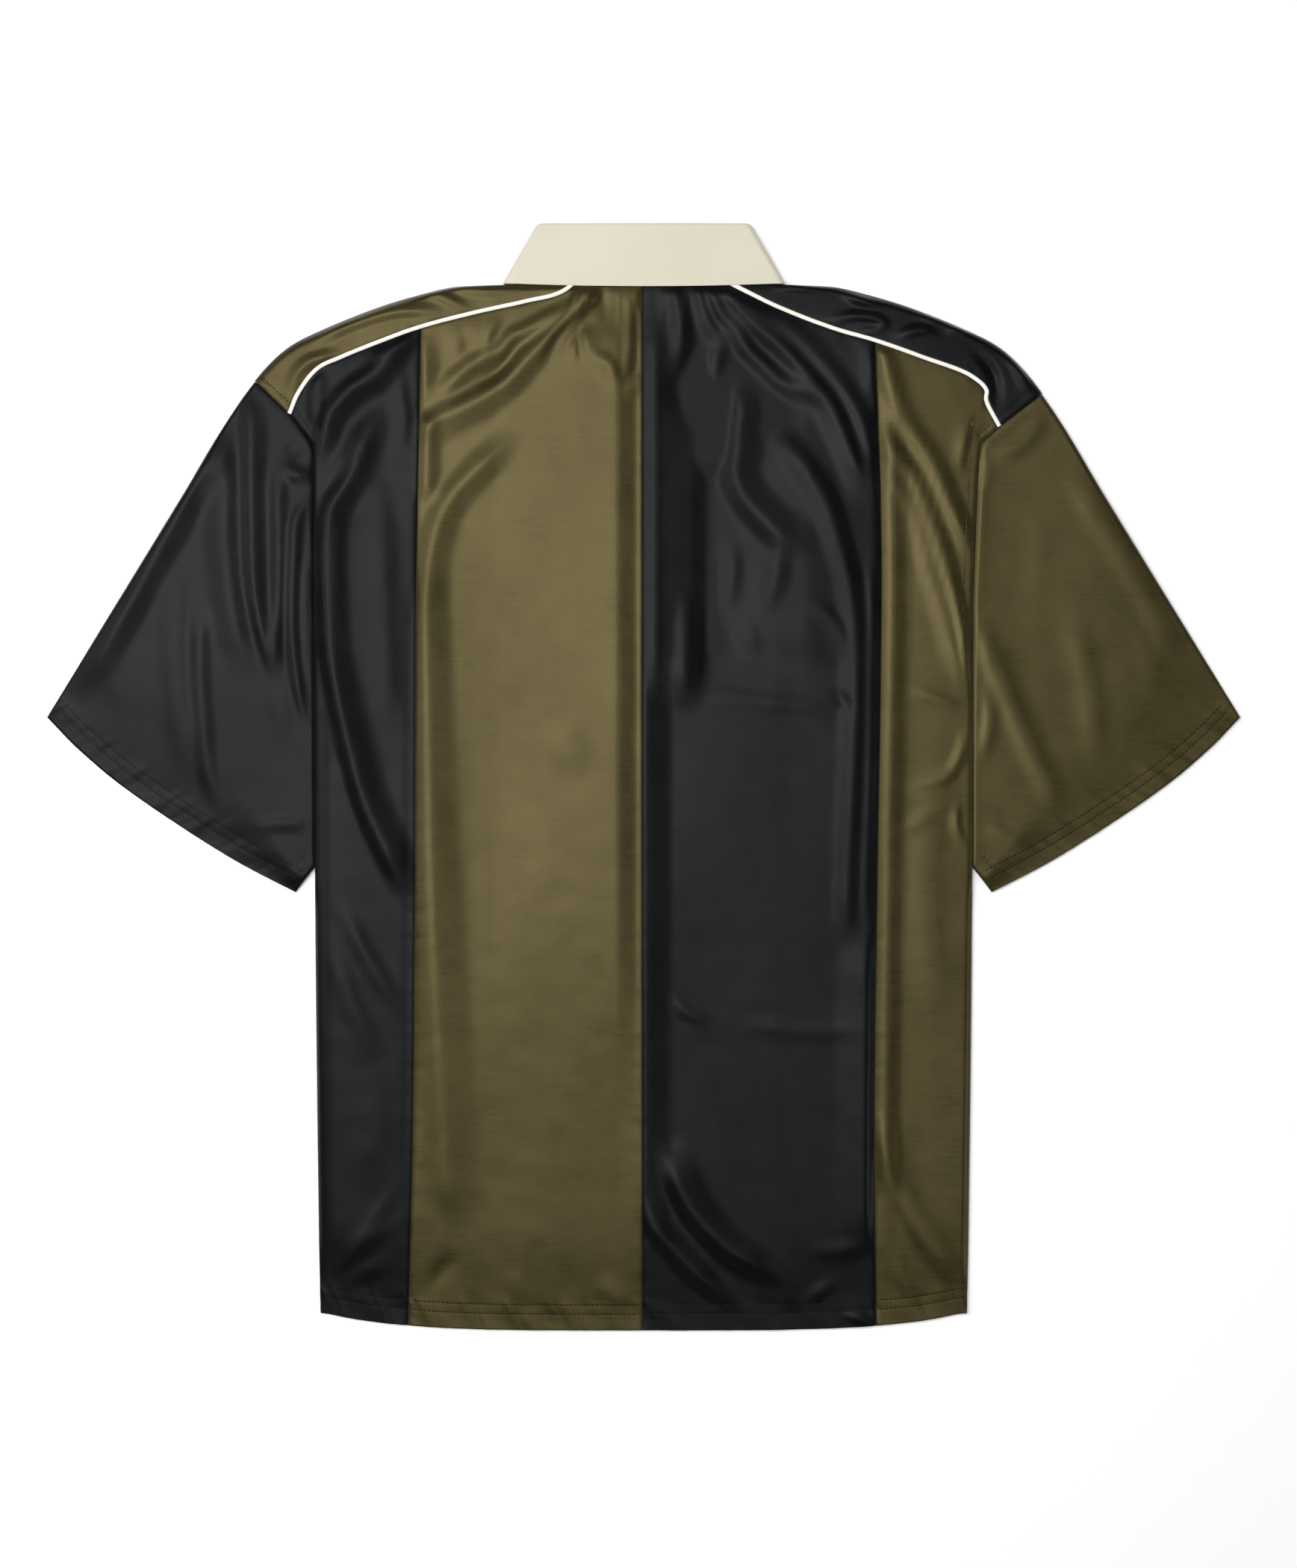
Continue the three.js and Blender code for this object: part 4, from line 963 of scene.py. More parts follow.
@dataclass(frozen=True)
class Noise:
    """Noise over a surface and what it does there."""

    name: str
    cells: Colour  # for each metre along x, y and z
    octaves: float
    turn: float = 0.0  # of its grain about Z, in degrees
    tint: Colour | None = None  # the colour that it mixes in
    most: float = 1.0  # the largest share of that colour
    rough: Span | None = None  # roughness in its dark and light places
    relief: Span | None = None  # depth in mm, and strength

    def add(self, bench: Bench) -> Socket:
        """Add the noise to a material.

        Args:
            bench: The material's nodes.

        Returns:
            The output that carries it.
        """
        turn, size = (0, 0, math.radians(self.turn)), tuple(1 / c for c in self.cells)
        grain = {"Vector": bench.place, "Rotation": turn, "Scale": size}
        cells = bench.add("Mapping", "Vector", grain, vector_type="TEXTURE")
        noise = {"Vector": cells, "Scale": 1.0, "Detail": self.octaves}
        return bench.add("TexNoise", "Fac", noise, label=self.name)


@dataclass(frozen=True)
class Finish:
    """The look of one stuff: a colour with noises over it."""

    name: str
    base: Colour
    SHINE: ClassVar[dict[str, float]] = {}  # what is the same all over

    def noises(self) -> tuple[Noise, ...]:
        """Return the noises over it."""
        return ()

    def shine(self) -> dict[str, float | tuple]:
        """Return the shader's values that are the same all over."""
        return self.SHINE

    def material(self) -> bpy.types.Material:
        """Build the node material.

        Returns:
            The material.
        """
        material = bpy.data.materials.new(self.name)
        bench = Bench(material, "Object")
        sockets = {"Base Color": (*self.base, 1.0)} | self.shine()
        for noise in self.noises():
            value = noise.add(bench)
            if noise.tint:
                share = bench.spread(value, 0.0, noise.most)
                mixed = {0: share, 6: sockets["Base Color"], 7: (*noise.tint, 1.0)}
                sockets["Base Color"] = bench.add("Mix", 2, mixed, data_type="RGBA")
            if noise.rough:
                sockets["Roughness"] = bench.spread(value, *noise.rough)
            if noise.relief:
                bump = {"Height": value, "Distance": noise.relief[0] * MM, "Strength": noise.relief[1]}
                if "Normal" in sockets:
                    bump["Normal"] = sockets["Normal"]
                sockets["Normal"] = bench.add("Bump", "Normal", bump)
        bench.feed(bench.nodes["Principled BSDF"], sockets)
        return material


@dataclass(frozen=True)
class SatinFinish(Finish):
    """Polyester satin: a soft coloured gloss over matt yarns, with faint crosswise slubs."""

    deep: Colour
    worn: Colour
    gloss: Colour
    SHINE: ClassVar = {"IOR": 1.7, "Sheen Weight": 0.04, "Sheen Roughness": 0.45}

    def noises(self) -> tuple[Noise, ...]:
        """Return the weave, its slubs, uneven pressing and uneven dye."""
        return (
            Noise("weave", (1500, 1500, 1500), 1, relief=(0.1, 0.12)),
            Noise("crosswise slubs", (70, 950, 70), 3, tint=self.deep, relief=(0.16, 0.16)),
            Noise("uneven pressing", (9, 6, 9), 2, rough=(0.27, 0.35)),
            Noise("uneven dye", (55, 42, 55), 4, tint=self.worn, most=0.8),
        )

    def shine(self) -> dict[str, float | tuple]:
        """Return the gloss of its floating yarns."""
        return self.SHINE | {"Specular Tint": (*self.gloss, 1.0)}


@dataclass(frozen=True)
class CollarFinish(Finish):
    """Smooth, closely woven ecru cotton, stiffened inside."""

    deep: Colour
    SHINE: ClassVar = {"Sheen Weight": 0.12, "Sheen Roughness": 0.5}

    def noises(self) -> tuple[Noise, ...]:
        """Return the threads and the handled places."""
        return (
            Noise("threads", (1300, 1300, 1300), 2, tint=self.deep, most=0.35, relief=(0.1, 0.3)),
            Noise("handled places", (14, 22, 14), 2, tint=self.deep, most=0.3, rough=(0.72, 0.84)),
        )


@dataclass(frozen=True)
class CordFinish(Finish):
    """Off-white bias cloth wrapped round the piping's cord."""

    deep: Colour
    SHINE: ClassVar = {"Sheen Weight": 0.1, "Sheen Roughness": 0.5}

    def noises(self) -> tuple[Noise, ...]:
        """Return the slanting weave and the handled places."""
        return (
            Noise("bias weave", (260, 1600, 260), 2, 45, self.deep, 0.5, (0.6, 0.75), (0.12, 0.4)),
            Noise("handled places", (60, 60, 60), 2, tint=self.deep, most=0.3),
        )


@dataclass(frozen=True)
class HornFinish(Finish):
    """Polished dark horn with cloudy streaks."""

    streak: Colour
    SHINE: ClassVar = {"Coat Weight": 0.25, "Coat Roughness": 0.15}

    def noises(self) -> tuple[Noise, ...]:
        """Return the streaks."""
        cells = (120, 700, 400)
        return (Noise("streaks", cells, 4, 25, self.streak, rough=(0.22, 0.38), relief=(0.03, 0.2)),)


@dataclass(frozen=True)
class ThreadFinish(Finish):
    """Spun sewing thread with its twist."""

    deep: Colour
    SHINE: ClassVar = {"Specular IOR Level": 0.12}

    def noises(self) -> tuple[Noise, ...]:
        """Return the twist."""
        cells = (3000, 900, 3000)
        return (Noise("twist", cells, 1, 30, self.deep, rough=(0.5, 0.7), relief=(0.05, 0.4)),)


@dataclass(frozen=True)
class BoardFinish(Finish):
    """Plain pale board under the shirt."""

    SHINE: ClassVar = {"Roughness": 0.9, "Specular IOR Level": 0.1}
# Pieces

FINE_STEP = 0.9  # between the grid lines where a hem's stitches press the cloth
FINE_REACH = 21.0
ARMHOLE_STITCH = 5.2  # from the armhole seam to the stitches beside it


def grid(length: float, step: float, others: Array, marks: Iterable[float] = ()) -> tuple[Array, Array]:
    """Lay a grid with closely spaced lines at a hem.

    Args:
        length: Length from the hem to the seam.
        step: Usual distance between two lines.
        others: Shares of the lines across it.
        marks: Shares of the length that must carry a line.

    Returns:
        The shares across and along at each point.
    """
    usual = stations(length, step, marks)
    fine = np.arange(0.0, FINE_REACH, FINE_STEP) / length
    along = np.concatenate([fine, usual[usual > (FINE_REACH + 0.4) / length]])
    return np.meshgrid(others, along, indexing="ij")


@dataclass
class BackPanels:
    """The back below the yoke seam: a centre and a side panel in each half."""

    column_step: float = 2.2
    row_step: float = 2.9
    centre_width: float = 152.0
    side_width: float = 68.0
    length: float = 690.0
    hem_stitches: Span = (11.0, 17.3)
    hem_puckers: float = 0.9

    def seam_line(self, side: Side, offset: float, v: Number) -> Array:
        """Return points of a half's side seam.

        Args:
            side: The half.
            offset: How far beside the seam's middle the points lie.
            v: Shares from the hem to the yoke seam.

        Returns:
            The plan points.
        """
        top = side.yoke_seam(YOKE_SEAM, -1)
        y = lerp(hem_y(side.seam_hem_x), top[1], v)
        at_top = side.seam_x(top[1]) - top[0]
        return plan_points(side.seam_x(y) + offset - at_top * v**CORNER_POWER, y)

    def yoke_edge(self, side: Side, offset: float, end: float, t: Array) -> Array:
        """Return a panel's points at shares t of the yoke seam's stretch from the side seam to its end."""
        drawn = self.seam_line(side, offset, 1.0) - side.yoke_seam(YOKE_SEAM, -1)
        return side.yoke_seam(lerp(YOKE_SEAM, end, t), -1) + drawn * ((1 - t) ** CORNER_POWER)[..., None]

    def side_edge(self, side: Side, v: Array) -> Array:
        """Return points of the side fold, then from the kink of the armhole seam.

        Args:
            side: The half.
            v: Shares from the hem to the yoke seam.

        Returns:
            The plan points.
        """
        fold_y = lerp(side.hem_corner_y, side.kink[1], np.minimum(v / KINK_ROW, 1))
        end = side.yoke_seam(0.0, -1)
        t = np.clip((v - KINK_ROW) / (1 - KINK_ROW), 0, 1)
        x = np.where(t > 0, lerp(side.kink[0], end[0], t), side.edge_x(fold_y))
        return plan_points(x, np.where(t > 0, lerp(side.kink[1], end[1], t), fold_y))

    def centre_plan(self, side: Side) -> Patch:
        """Return the plan of a half's centre panel.

        Args:
            side: The half.

        Returns:
            The plan, from the side seam to the centre seam and from the hem to the neck.
        """
        offset, inner_x = -GAP / 2, side.centre_x + GAP / 2
        hem_x, neck_from = self.seam_line(side, offset, 0.0)[0], side.yoke_seam(1.0, -1)

        def top(u: Array) -> Array:
            """Return the yoke seam's points, then the neck's."""
            yoke = self.yoke_edge(side, offset, 1, np.clip(u / NECK_COLUMN, 0, 1))
            n = np.clip((u - NECK_COLUMN) / (1 - NECK_COLUMN), 0, 1)
            neck = plan_points(lerp(neck_from[0], inner_x, n), lerp(neck_from[1], NECK_Y, n))
            return np.where(n[..., None] > 0, neck, yoke)

        return Patch(
            bottom=lambda u: on_curve(hem_y, lerp(hem_x, inner_x, u)),
            top=top,
            left=partial(self.seam_line, side, offset),
            right=lambda v: plan_points(inner_x, lerp(hem_y(inner_x), NECK_Y, v)),
        )

    def side_plan(self, side: Side) -> Patch:
        """Return the plan of a half's side panel.

        Args:
            side: The half.

        Returns:
            The plan, from the side seam to the side fold and from the hem to the yoke seam.
        """
        offset = GAP / 2
        hem_x = self.seam_line(side, offset, 0.0)[0]

        def bottom(u: Array) -> Array:
            """Return the hem's points."""
            x = lerp(hem_x, HEM_HALF, u)
            return plan_points(x, lerp(hem_y(x), side.hem_corner_y, u**CORNER_POWER))

        return Patch(
            bottom=bottom,
            top=partial(self.yoke_edge, side, offset, 0),
            left=partial(self.seam_line, side, offset),
            right=partial(self.side_edge, side),
        )

    def sewn(self, side: Side, plan: Array, z: Array, name: str) -> Made:
        """Draw a panel in at its side seam, yoke seam and hem, and make it.

        Args:
            side: The half.
            plan: The grid of its plan points.
            z: Their heights.
            name: The panel's name.

        Returns:
            The made panel.
        """
        x, y = plan[..., 0], plan[..., 1]
        z = z + seam_tuck(np.abs(x - plan[:1, :, 0]), y)
        z = z + seam_tuck(distance(plan, plan[:, -1:]), x, 0.9, 1.2)
        z = z + hem_relief(y - plan[:, :1, 1], side.sign * x, self.hem_stitches, self.hem_puckers)
        return cloth_wall(name, side.place(plan, z), CLOTH).cut(plan)

    def centre(self, side: Side) -> Made:
        """Make a half's centre panel.

        Args:
            side: The half.

        Returns:
            The made panel.
        """
        columns = stations(self.centre_width, self.column_step, [NECK_COLUMN])
        u, v = grid(self.length, self.row_step, columns)
        plan = self.centre_plan(side).at(u, v)
        x, y = plan[..., 0], plan[..., 1]
        z = back_height(side, x, y, CREASES[f"centre_{side.name}"])
        z = z + seam_tuck(np.abs(x - plan[-1:, :, 0]), y, 0.7)
        return self.sewn(side, plan, z, f"back_centre_{side.name}_cloth")

    def side(self, side: Side) -> Made:
        """Make a half's side panel, which turns down at the side fold.

        Args:
            side: The half.

        Returns:
            The made panel.
        """
        columns = stations(self.side_width, self.column_step)
        u, v = grid(self.length, self.row_step, columns, [KINK_ROW])
        plan = self.side_plan(side).at(u, v)
        x, y = plan[..., 0], plan[..., 1]
        rim = plan[-1:, :, :]
        over_sleeve = smooth((rim[..., 1] + 100) / 34)
        along_armhole = np.clip((v - KINK_ROW) / (1 - KINK_ROW), 0, 1)
        rim_z = lerp(lerp(FRONT_EDGE_Z, SLEEVE_EDGE_Z, over_sleeve), BACK_Z, along_armhole)
        inside = distance(plan, rim)
        z = rounded(rim_z, back_height(side, x, y, CREASES[f"side_{side.name}"]), inside)
        z = z + smooth(along_armhole / 0.15) * armhole_tuck(inside, y)
        return self.sewn(side, plan, z, f"back_side_{side.name}_cloth")


def rounded(rim_z: Array, z: Array, inside: Array) -> Array:
    """Return heights that come down to a free edge's height, by their distance from that edge."""
    share = 1 - (1 - np.clip(inside / EDGE_ROUND, 0.0, 1.0)) ** EDGE_POWER
    return lerp(rim_z, np.maximum(z, rim_z), share)


def armhole_tuck(away: Array, along: Array) -> Array:
    """Return how the armhole seam and the stitches beside it draw the cloth in."""
    return seam_tuck(away, along, 0.7) + stitch_groove(away, ARMHOLE_STITCH, 0.5)


@dataclass
class Yokes:
    """The yoke in each half, between the piping and the shoulder's edge."""

    column_step: float = 1.9
    row_step: float = 1.5
    width: float = 205.0
    depth: float = 40.0

    def shoulder_edge(self, side: Side, share: Array) -> Array:
        """Return points of the shoulder's edge.

        Args:
            side: The half.
            share: Shares of the edge from the armhole to the neck.

        Returns:
            The plan points.
        """
        x = lerp(side.corner[0], NECK_SIDE[0], share)
        under_leaf = (COLLAR_CORNER_X - x) / (COLLAR_CORNER_X - NECK_SIDE[0])
        rise = (NECK_SIDE[1] - OUTLINE_Y(COLLAR_CORNER_X)) * np.maximum(under_leaf, 0)
        return plan_points(x, OUTLINE_Y(np.maximum(x, COLLAR_CORNER_X)) + rise)

    def make(self, side: Side) -> Made:
        """Make a half's yoke.

        Args:
            side: The half.

        Returns:
            The made yoke.
        """
        leaf_share = (side.corner[0] - COLLAR_CORNER_X) / (side.corner[0] - NECK_SIDE[0])
        us = stations(self.width, self.column_step, [leaf_share])
        u, v = np.meshgrid(us, stations(self.depth, self.row_step), indexing="ij")
        ends = [(side.yoke_seam(k, 1), self.shoulder_edge(side, np.array(k))) for k in (0.0, 1.0)]
        legs = [lambda t, a=a, b=b: lerp(a, b, np.asarray(t)[..., None]) for a, b in ends]
        seam, edge = partial(side.yoke_seam, toward=1), partial(self.shoulder_edge, side)
        plan = Patch(seam, edge, *legs).at(u, v)
        x, y = plan[..., 0], plan[..., 1]
        rim = plan[:, -1:, :]
        rim_z = front_height(rim[..., 0], rim[..., 1]) + LAYER + 0.15
        z = rounded(rim_z, back_height(side, x, y, CREASES["yokes"]), distance(plan, rim))
        z = z + seam_tuck(distance(plan, plan[:, :1]), x, 0.9, 1.2)
        z = z + armhole_tuck(distance(plan, plan[:1]), y)
        return cloth_wall(f"yoke_{side.name}_cloth", side.place(plan, z), CLOTH).cut(plan)


@dataclass
class Piping:
    """The corded piping on each yoke seam."""

    radius: float = 1.45
    flatten: float = 0.85
    step: float = 1.1
    sides: int = 14
    seam: float = 232.0  # length that the steps are counted on
    top_y: float = 338.0
    pressed_y: float = 325.0  # where the collar's leaf begins to press it flat
    pressed_over: float = 9.0
    pressed_share: float = 0.5
    wrinkle: float = 0.05
    sunk: float = 0.8  # share of the half height that stands over the cloths
    reach: float = 1.6  # how far beside the seam the cloths are felt for

    def make(self, side: Side, cloths: Sequence[Made]) -> Made:
        """Make a half's piping, laid on the cloths that it is sewn between.

        Args:
            side: The half.
            cloths: The yoke and the two panels at the seam.

        Returns:
            The made piping.
        """
        shares = np.linspace(0, 1, int(self.seam / self.step))
        shares = shares[side.yoke_line.at(shares)[:, 1] < self.top_y]
        spine, run = side.yoke_line.at(shares), side.yoke_line.run(shares)
        height = np.array([self.seat(side, point, cloths) for point in spine])
        height = np.convolve(np.pad(height, 4, mode="edge"), np.ones(9) / 9, mode="valid")
        angle = (np.arange(self.sides) + 0.5) * 2 * math.pi / self.sides
        swell = 1 + self.wrinkle * PUCKER.at(shares * self.seam, shares * 0)[:, None]
        pressed = lerp(1.0, self.pressed_share, smooth((spine[:, 1] - self.pressed_y) / self.pressed_over))
        out = self.radius * swell * np.cos(angle)
        lift = self.radius * self.flatten * swell * np.sin(angle) * pressed[:, None]
        height = height - self.radius * self.flatten * (1 - pressed)
        plan = spine[:, None, :] + plan_points(-run[:, 1], run[:, 0])[:, None, :] * out[..., None]
        number = np.arange(len(shares) * self.sides).reshape(-1, self.sides)
        after = np.roll(number, -1, axis=1)
        faces = quads(number[:-1], number[1:], after[1:], after[:-1]).tolist()
        faces += [number[0].tolist(), number[-1][::-1].tolist()]
        if side.sign > 0:
            faces = [face[::-1] for face in faces]
        return mesh_piece(f"piping_{side.name}_cord", side.place(plan, height[:, None] + lift), faces)

    def seat(self, side: Side, point: Array, cloths: Sequence[Made]) -> float:
        """Return the height of the cord's middle on the cloths beside a seam point.

        Args:
            side: The half.
            point: The seam's plan point.
            cloths: The cloths at the seam.

        Returns:
            The height.
        """
        around = [(self.reach, 0), (-self.reach, 0), (0, self.reach), (0, -self.reach)]
        hits = [
            found[0].z
            for cloth in cloths
            for dx, dy in around
            if (found := cloth.find(side.sign * (point[0] + dx), point[1] + dy))
        ]
        below = float(np.mean(hits)) if hits else BACK_Z + CLOTH / 2
        return below + self.radius * self.flatten * self.sunk


@dataclass
class Sleeves:
    """The sleeves, flattened tubes that lie partly under the side folds."""

    column_step: float = 2.3
    row_step: float = 2.3
    width: float = 205.0
    length: float = 170.0
    fold_columns: int = 8
    hem_drop: float = 0.3  # share of the length over which the back layer comes down at the hem
    hem_z: float = FRONT_Z + 1.6
    near_fold: float = 0.015  # where a fold's roundness is read, as a share of the width
    hem_stitches: Span = (9.5, 15.5)
    hem_puckers: float = 0.8
    hem_run: Span = (0.78, 0.62)

    def plan_of(self, side: Side) -> Patch:
        """Return the plan of a sleeve.

        Args:
            side: The half.

        Returns:
            The plan, u from the hem to the armhole and v from the lower to the upper fold.
        """
        corner, tip, legs = SLEEVE_HEM[0], SLEEVE_HEM[-1], side.armhole_legs()
        return Patch(
            bottom=lambda u: plan_points(lerp(corner[0], UNDERARM[0], u), lerp(corner[1], UNDERARM[1], u)),
            top=lambda u: on_curve(OUTLINE_Y, lerp(tip[0], legs[-1][0], u)),
            left=lambda v: on_curve(SLEEVE_HEM_Y, lerp(corner[0], tip[0], v)),
            right=partial(along_legs, legs),
        )

    def back_z(self, side: Side, u: Array, plan: Array) -> Array:
        """Return the middle of the back layer, which comes down to the hem, at shares u from it."""
        z = sleeve_height(side, plan[..., 0], plan[..., 1], CREASES[f"sleeve_{side.name}"])
        return lerp(z, self.hem_z, 1 - smooth(u / self.hem_drop))

    def make(self, side: Side) -> Made:
        """Make a half's sleeve.

        Args:
            side: The half.

        Returns:
            The made sleeve.
        """
        patch = self.plan_of(side)
        marks = [ARMHOLE_STRAIGHT, ARMHOLE_KINK, ARMHOLE_PIPE]
        across, u = grid(self.length, self.row_step, stations(self.width, self.column_step, marks))
        us = u[0]
        width = distance(patch.at(us, us * 0 + 1), patch.at(us, us * 0))
        radii, starts = [], []
        for rim_share, from_edge in ((self.near_fold, 0.0), (1 - self.near_fold, 1.0)):
            rim = patch.at(us, us * 0 + rim_share)
            radius = (self.back_z(side, us, rim) - FRONT_Z) / 2
            radii.append(radius)
            starts.append(np.abs(from_edge - (CLOTH / 2 + radius) / width))
        back_v = lerp(starts[0], starts[1], across)
        back_plan = patch.at(u, back_v)
        along = back_plan[..., 0] * self.hem_run[0] + back_plan[..., 1] * self.hem_run[1]
        to_hem = distance(back_plan, patch.at(us * 0, back_v))
        back_z = self.back_z(side, u, back_plan)
        back_z = back_z + hem_relief(to_hem, along, self.hem_stitches, self.hem_puckers)
        back_z = back_z + seam_tuck(distance(back_plan, patch.at(us * 0 + 1, back_v)), along, 0.6)
        front_plan = patch.at(u, back_v[::-1])
        front_z = np.full(u.shape, FRONT_Z)
        turns = np.linspace(0, math.pi, self.fold_columns + 2)[1:-1, None]
        folds = []
        for radius, top_z, upper in ((radii[1], back_z[-1], True), (radii[0], back_z[0], False)):
            inset = (CLOTH / 2 + radius * (1 - np.sin(turns))) / width
            plan = patch.at(us, 1 - inset if upper else inset)
            z = lerp(top_z, FRONT_Z, (1 - np.cos(turns)) / 2)
            folds.append((plan, z) if upper else (plan[::-1], z[::-1]))
        plan = np.concatenate([back_plan, folds[0][0], front_plan, folds[1][0]])
        z = np.concatenate([back_z, folds[0][1], front_z, folds[1][1]])
        made = cloth_wall(f"sleeve_{side.name}_cloth", side.place(plan, z), CLOTH, closed=True)
        return made.cut(back_plan, folded=True)


def between(marks: Sequence[float], parts: int) -> Array:
    """Split each step between grid lines into equal parts."""
    inner = [np.linspace(a, b, parts, endpoint=False) for a, b in zip(marks, marks[1:])]
    return np.append(np.concatenate(inner), marks[-1])


# The collar's front half from its side fold (0) to the centre front (1): share, then x and y of
# the leaf's free edge, of the fold and of the stand's neck edge.
COLLAR_ROWS = (
    (0, 91.75, 335.6, 69.2, 374.6, 84.5, 346.8),
    (0.25, 87, 318, 66, 362, 80, 330),
    (0.5, 80, 300, 54, 344, 66, 313),
    (0.75, 72, 281, 34, 326, 42, 299.4),
    (1, 62, 262, 5, 313, 5, 292.6),
)
COLLAR_FRONT = {
    line: [Curve([(row[0], row[k]) for row in COLLAR_ROWS]) for k in (first, first + 1)]
    for line, first in (("edge", 1), ("fold", 3), ("stand", 5))
}


@dataclass
class Fronts:
    """The two halves of the front, which lie face down under the rest."""

    yokes: Yokes
    inset: float = 0.6  # keeps the front's edges inside the back's
    hem_lift: float = 1.0
    neck_share: float = 0.32  # share of the width at the neck's side
    leaf_share: float = 0.37  # and where the shoulder's edge leaves the collar
    neck_steps: int = 6
    placket_foot: Span = (0.77, 0.793)
    underarm: float = 0.4637
    armhole: float = 0.4835
    armhole_rows: tuple[float, float, float] = (0.8836, 0.9057, 0.9505)
    columns: tuple[float, ...] = (0.5, 0.66, 0.82, 0.93, 1.0)
    rows: tuple[float, ...] = (0.58, 0.68, 0.73)
    upper_row: float = 0.84
    top_rows: Span = (0.976, 1.0)
    parts: int = 5

    def legs(self, side: Side) -> tuple[list[Leg], list[Leg], list[Leg]]:
        """Return the legs of a half's edges.

        Args:
            side: The half.

        Returns:
            The centre edge, the outer edge and the neck, each as ends' x, y and share.
        """
        step = PLACKET_HALF + GAP
        neck = [(step, PLACKET_TOP_Y + GAP, 0.0)]
        for i in range(1, self.neck_steps + 1):
            share = i / self.neck_steps
            drop = 2 * GAP if i == self.neck_steps else GAP
            x, y = (curve(1 - share) for curve in COLLAR_FRONT["stand"])
            neck.append((x + GAP, y - drop, share))
        centre = [
            (GAP / 2, float(hem_y(0.0)) + self.hem_lift, 0.0),
            (GAP / 2, PLACKET_BOTTOM_Y - 1, self.placket_foot[0]),
            (step, PLACKET_BOTTOM_Y, self.placket_foot[1]),
            (*neck[0][:2], 1.0),
        ]
        hole = side.armhole_legs()
        straight, kink, pipe = self.armhole_rows
        top = self.yokes.shoulder_edge(side, np.array(self.inset / (side.corner[0] - NECK_SIDE[0])))
        outer = [
            (HEM_HALF - self.inset, side.hem_corner_y + self.hem_lift, 0.0),
            (float(side.edge_x(-65)) - self.inset, UNDERARM[1] - 10.6, self.underarm),
            (UNDERARM[0] - 2 * GAP, UNDERARM[1] - 2 * GAP, self.armhole),
            (hole[1][0] - 2 * GAP, hole[1][1] + 0.1, straight),
            (hole[2][0] - 0.4, hole[2][1] + 0.1, kink),
            (hole[3][0] - 0.4, hole[3][1] + 0.1, pipe),
            (side.corner[0] - self.inset, float(top[1]) - self.inset, 1.0),
        ]
        return centre, outer, neck

    def make(self, side: Side) -> Made:
        """Make a half of the front.

        Args:
            side: The half.

        Returns:
            The made half.
        """
        centre, outer, neck = self.legs(side)
        corner, neck_end = outer[-1], neck[-1]
        leaf = (COLLAR_CORNER_X - 0.4, float(OUTLINE_Y(COLLAR_CORNER_X)) - self.inset)

        def bottom(u: Array) -> Array:
            """Return the hem's points."""
            x = lerp(GAP / 2, HEM_HALF - self.inset, u)
            return plan_points(x, lerp(hem_y(x), side.hem_corner_y, u**CORNER_POWER) + self.hem_lift)

        def top(u: Array) -> Array:
            """Return the neck's points, then the shoulder's."""
            at_neck = along_legs(neck, u / self.neck_share)
            t = np.clip((u - self.neck_share) / (self.leaf_share - self.neck_share), 0, 1)[..., None]
            to_leaf = lerp(np.array(neck_end[:2]), np.array(leaf), t)
            s = np.clip((u - self.leaf_share) / (1 - self.leaf_share), 0, 1)
            x = lerp(leaf[0], corner[0], s)
            shoulder = plan_points(x, lerp(OUTLINE_Y(x) - self.inset, corner[1], s**12))
            beyond = np.where((u > self.leaf_share)[..., None], shoulder, to_leaf)
            return np.where((u <= self.neck_share)[..., None], at_neck, beyond)

        marks = [*np.linspace(0, self.neck_share, self.neck_steps + 1), self.leaf_share]
        us = between([*marks, *self.columns], self.parts)
        rows = [*np.linspace(0, self.underarm, 6), self.armhole, *self.rows, *self.placket_foot]
        vs = between([*rows, self.upper_row, *self.armhole_rows, *self.top_rows], self.parts)
        u, v = np.meshgrid(us, vs, indexing="ij")
        left, right = partial(along_legs, centre), partial(along_legs, outer)
        plan = Patch(bottom, top, left, right, top_power=6).at(u, v)
        z = front_height(plan[..., 0], plan[..., 1])
        return cloth_wall(f"front_{side.name}_cloth", side.place(plan, z), CLOTH).cut(plan)


@dataclass(frozen=True)
class CollarLine:
    """One of the collar's lines where it turns round the side folds."""

    reach: float  # half width at the side fold
    bulge: float  # how much of that lies past the straight run
    back: float  # height behind
    front: float  # height in front


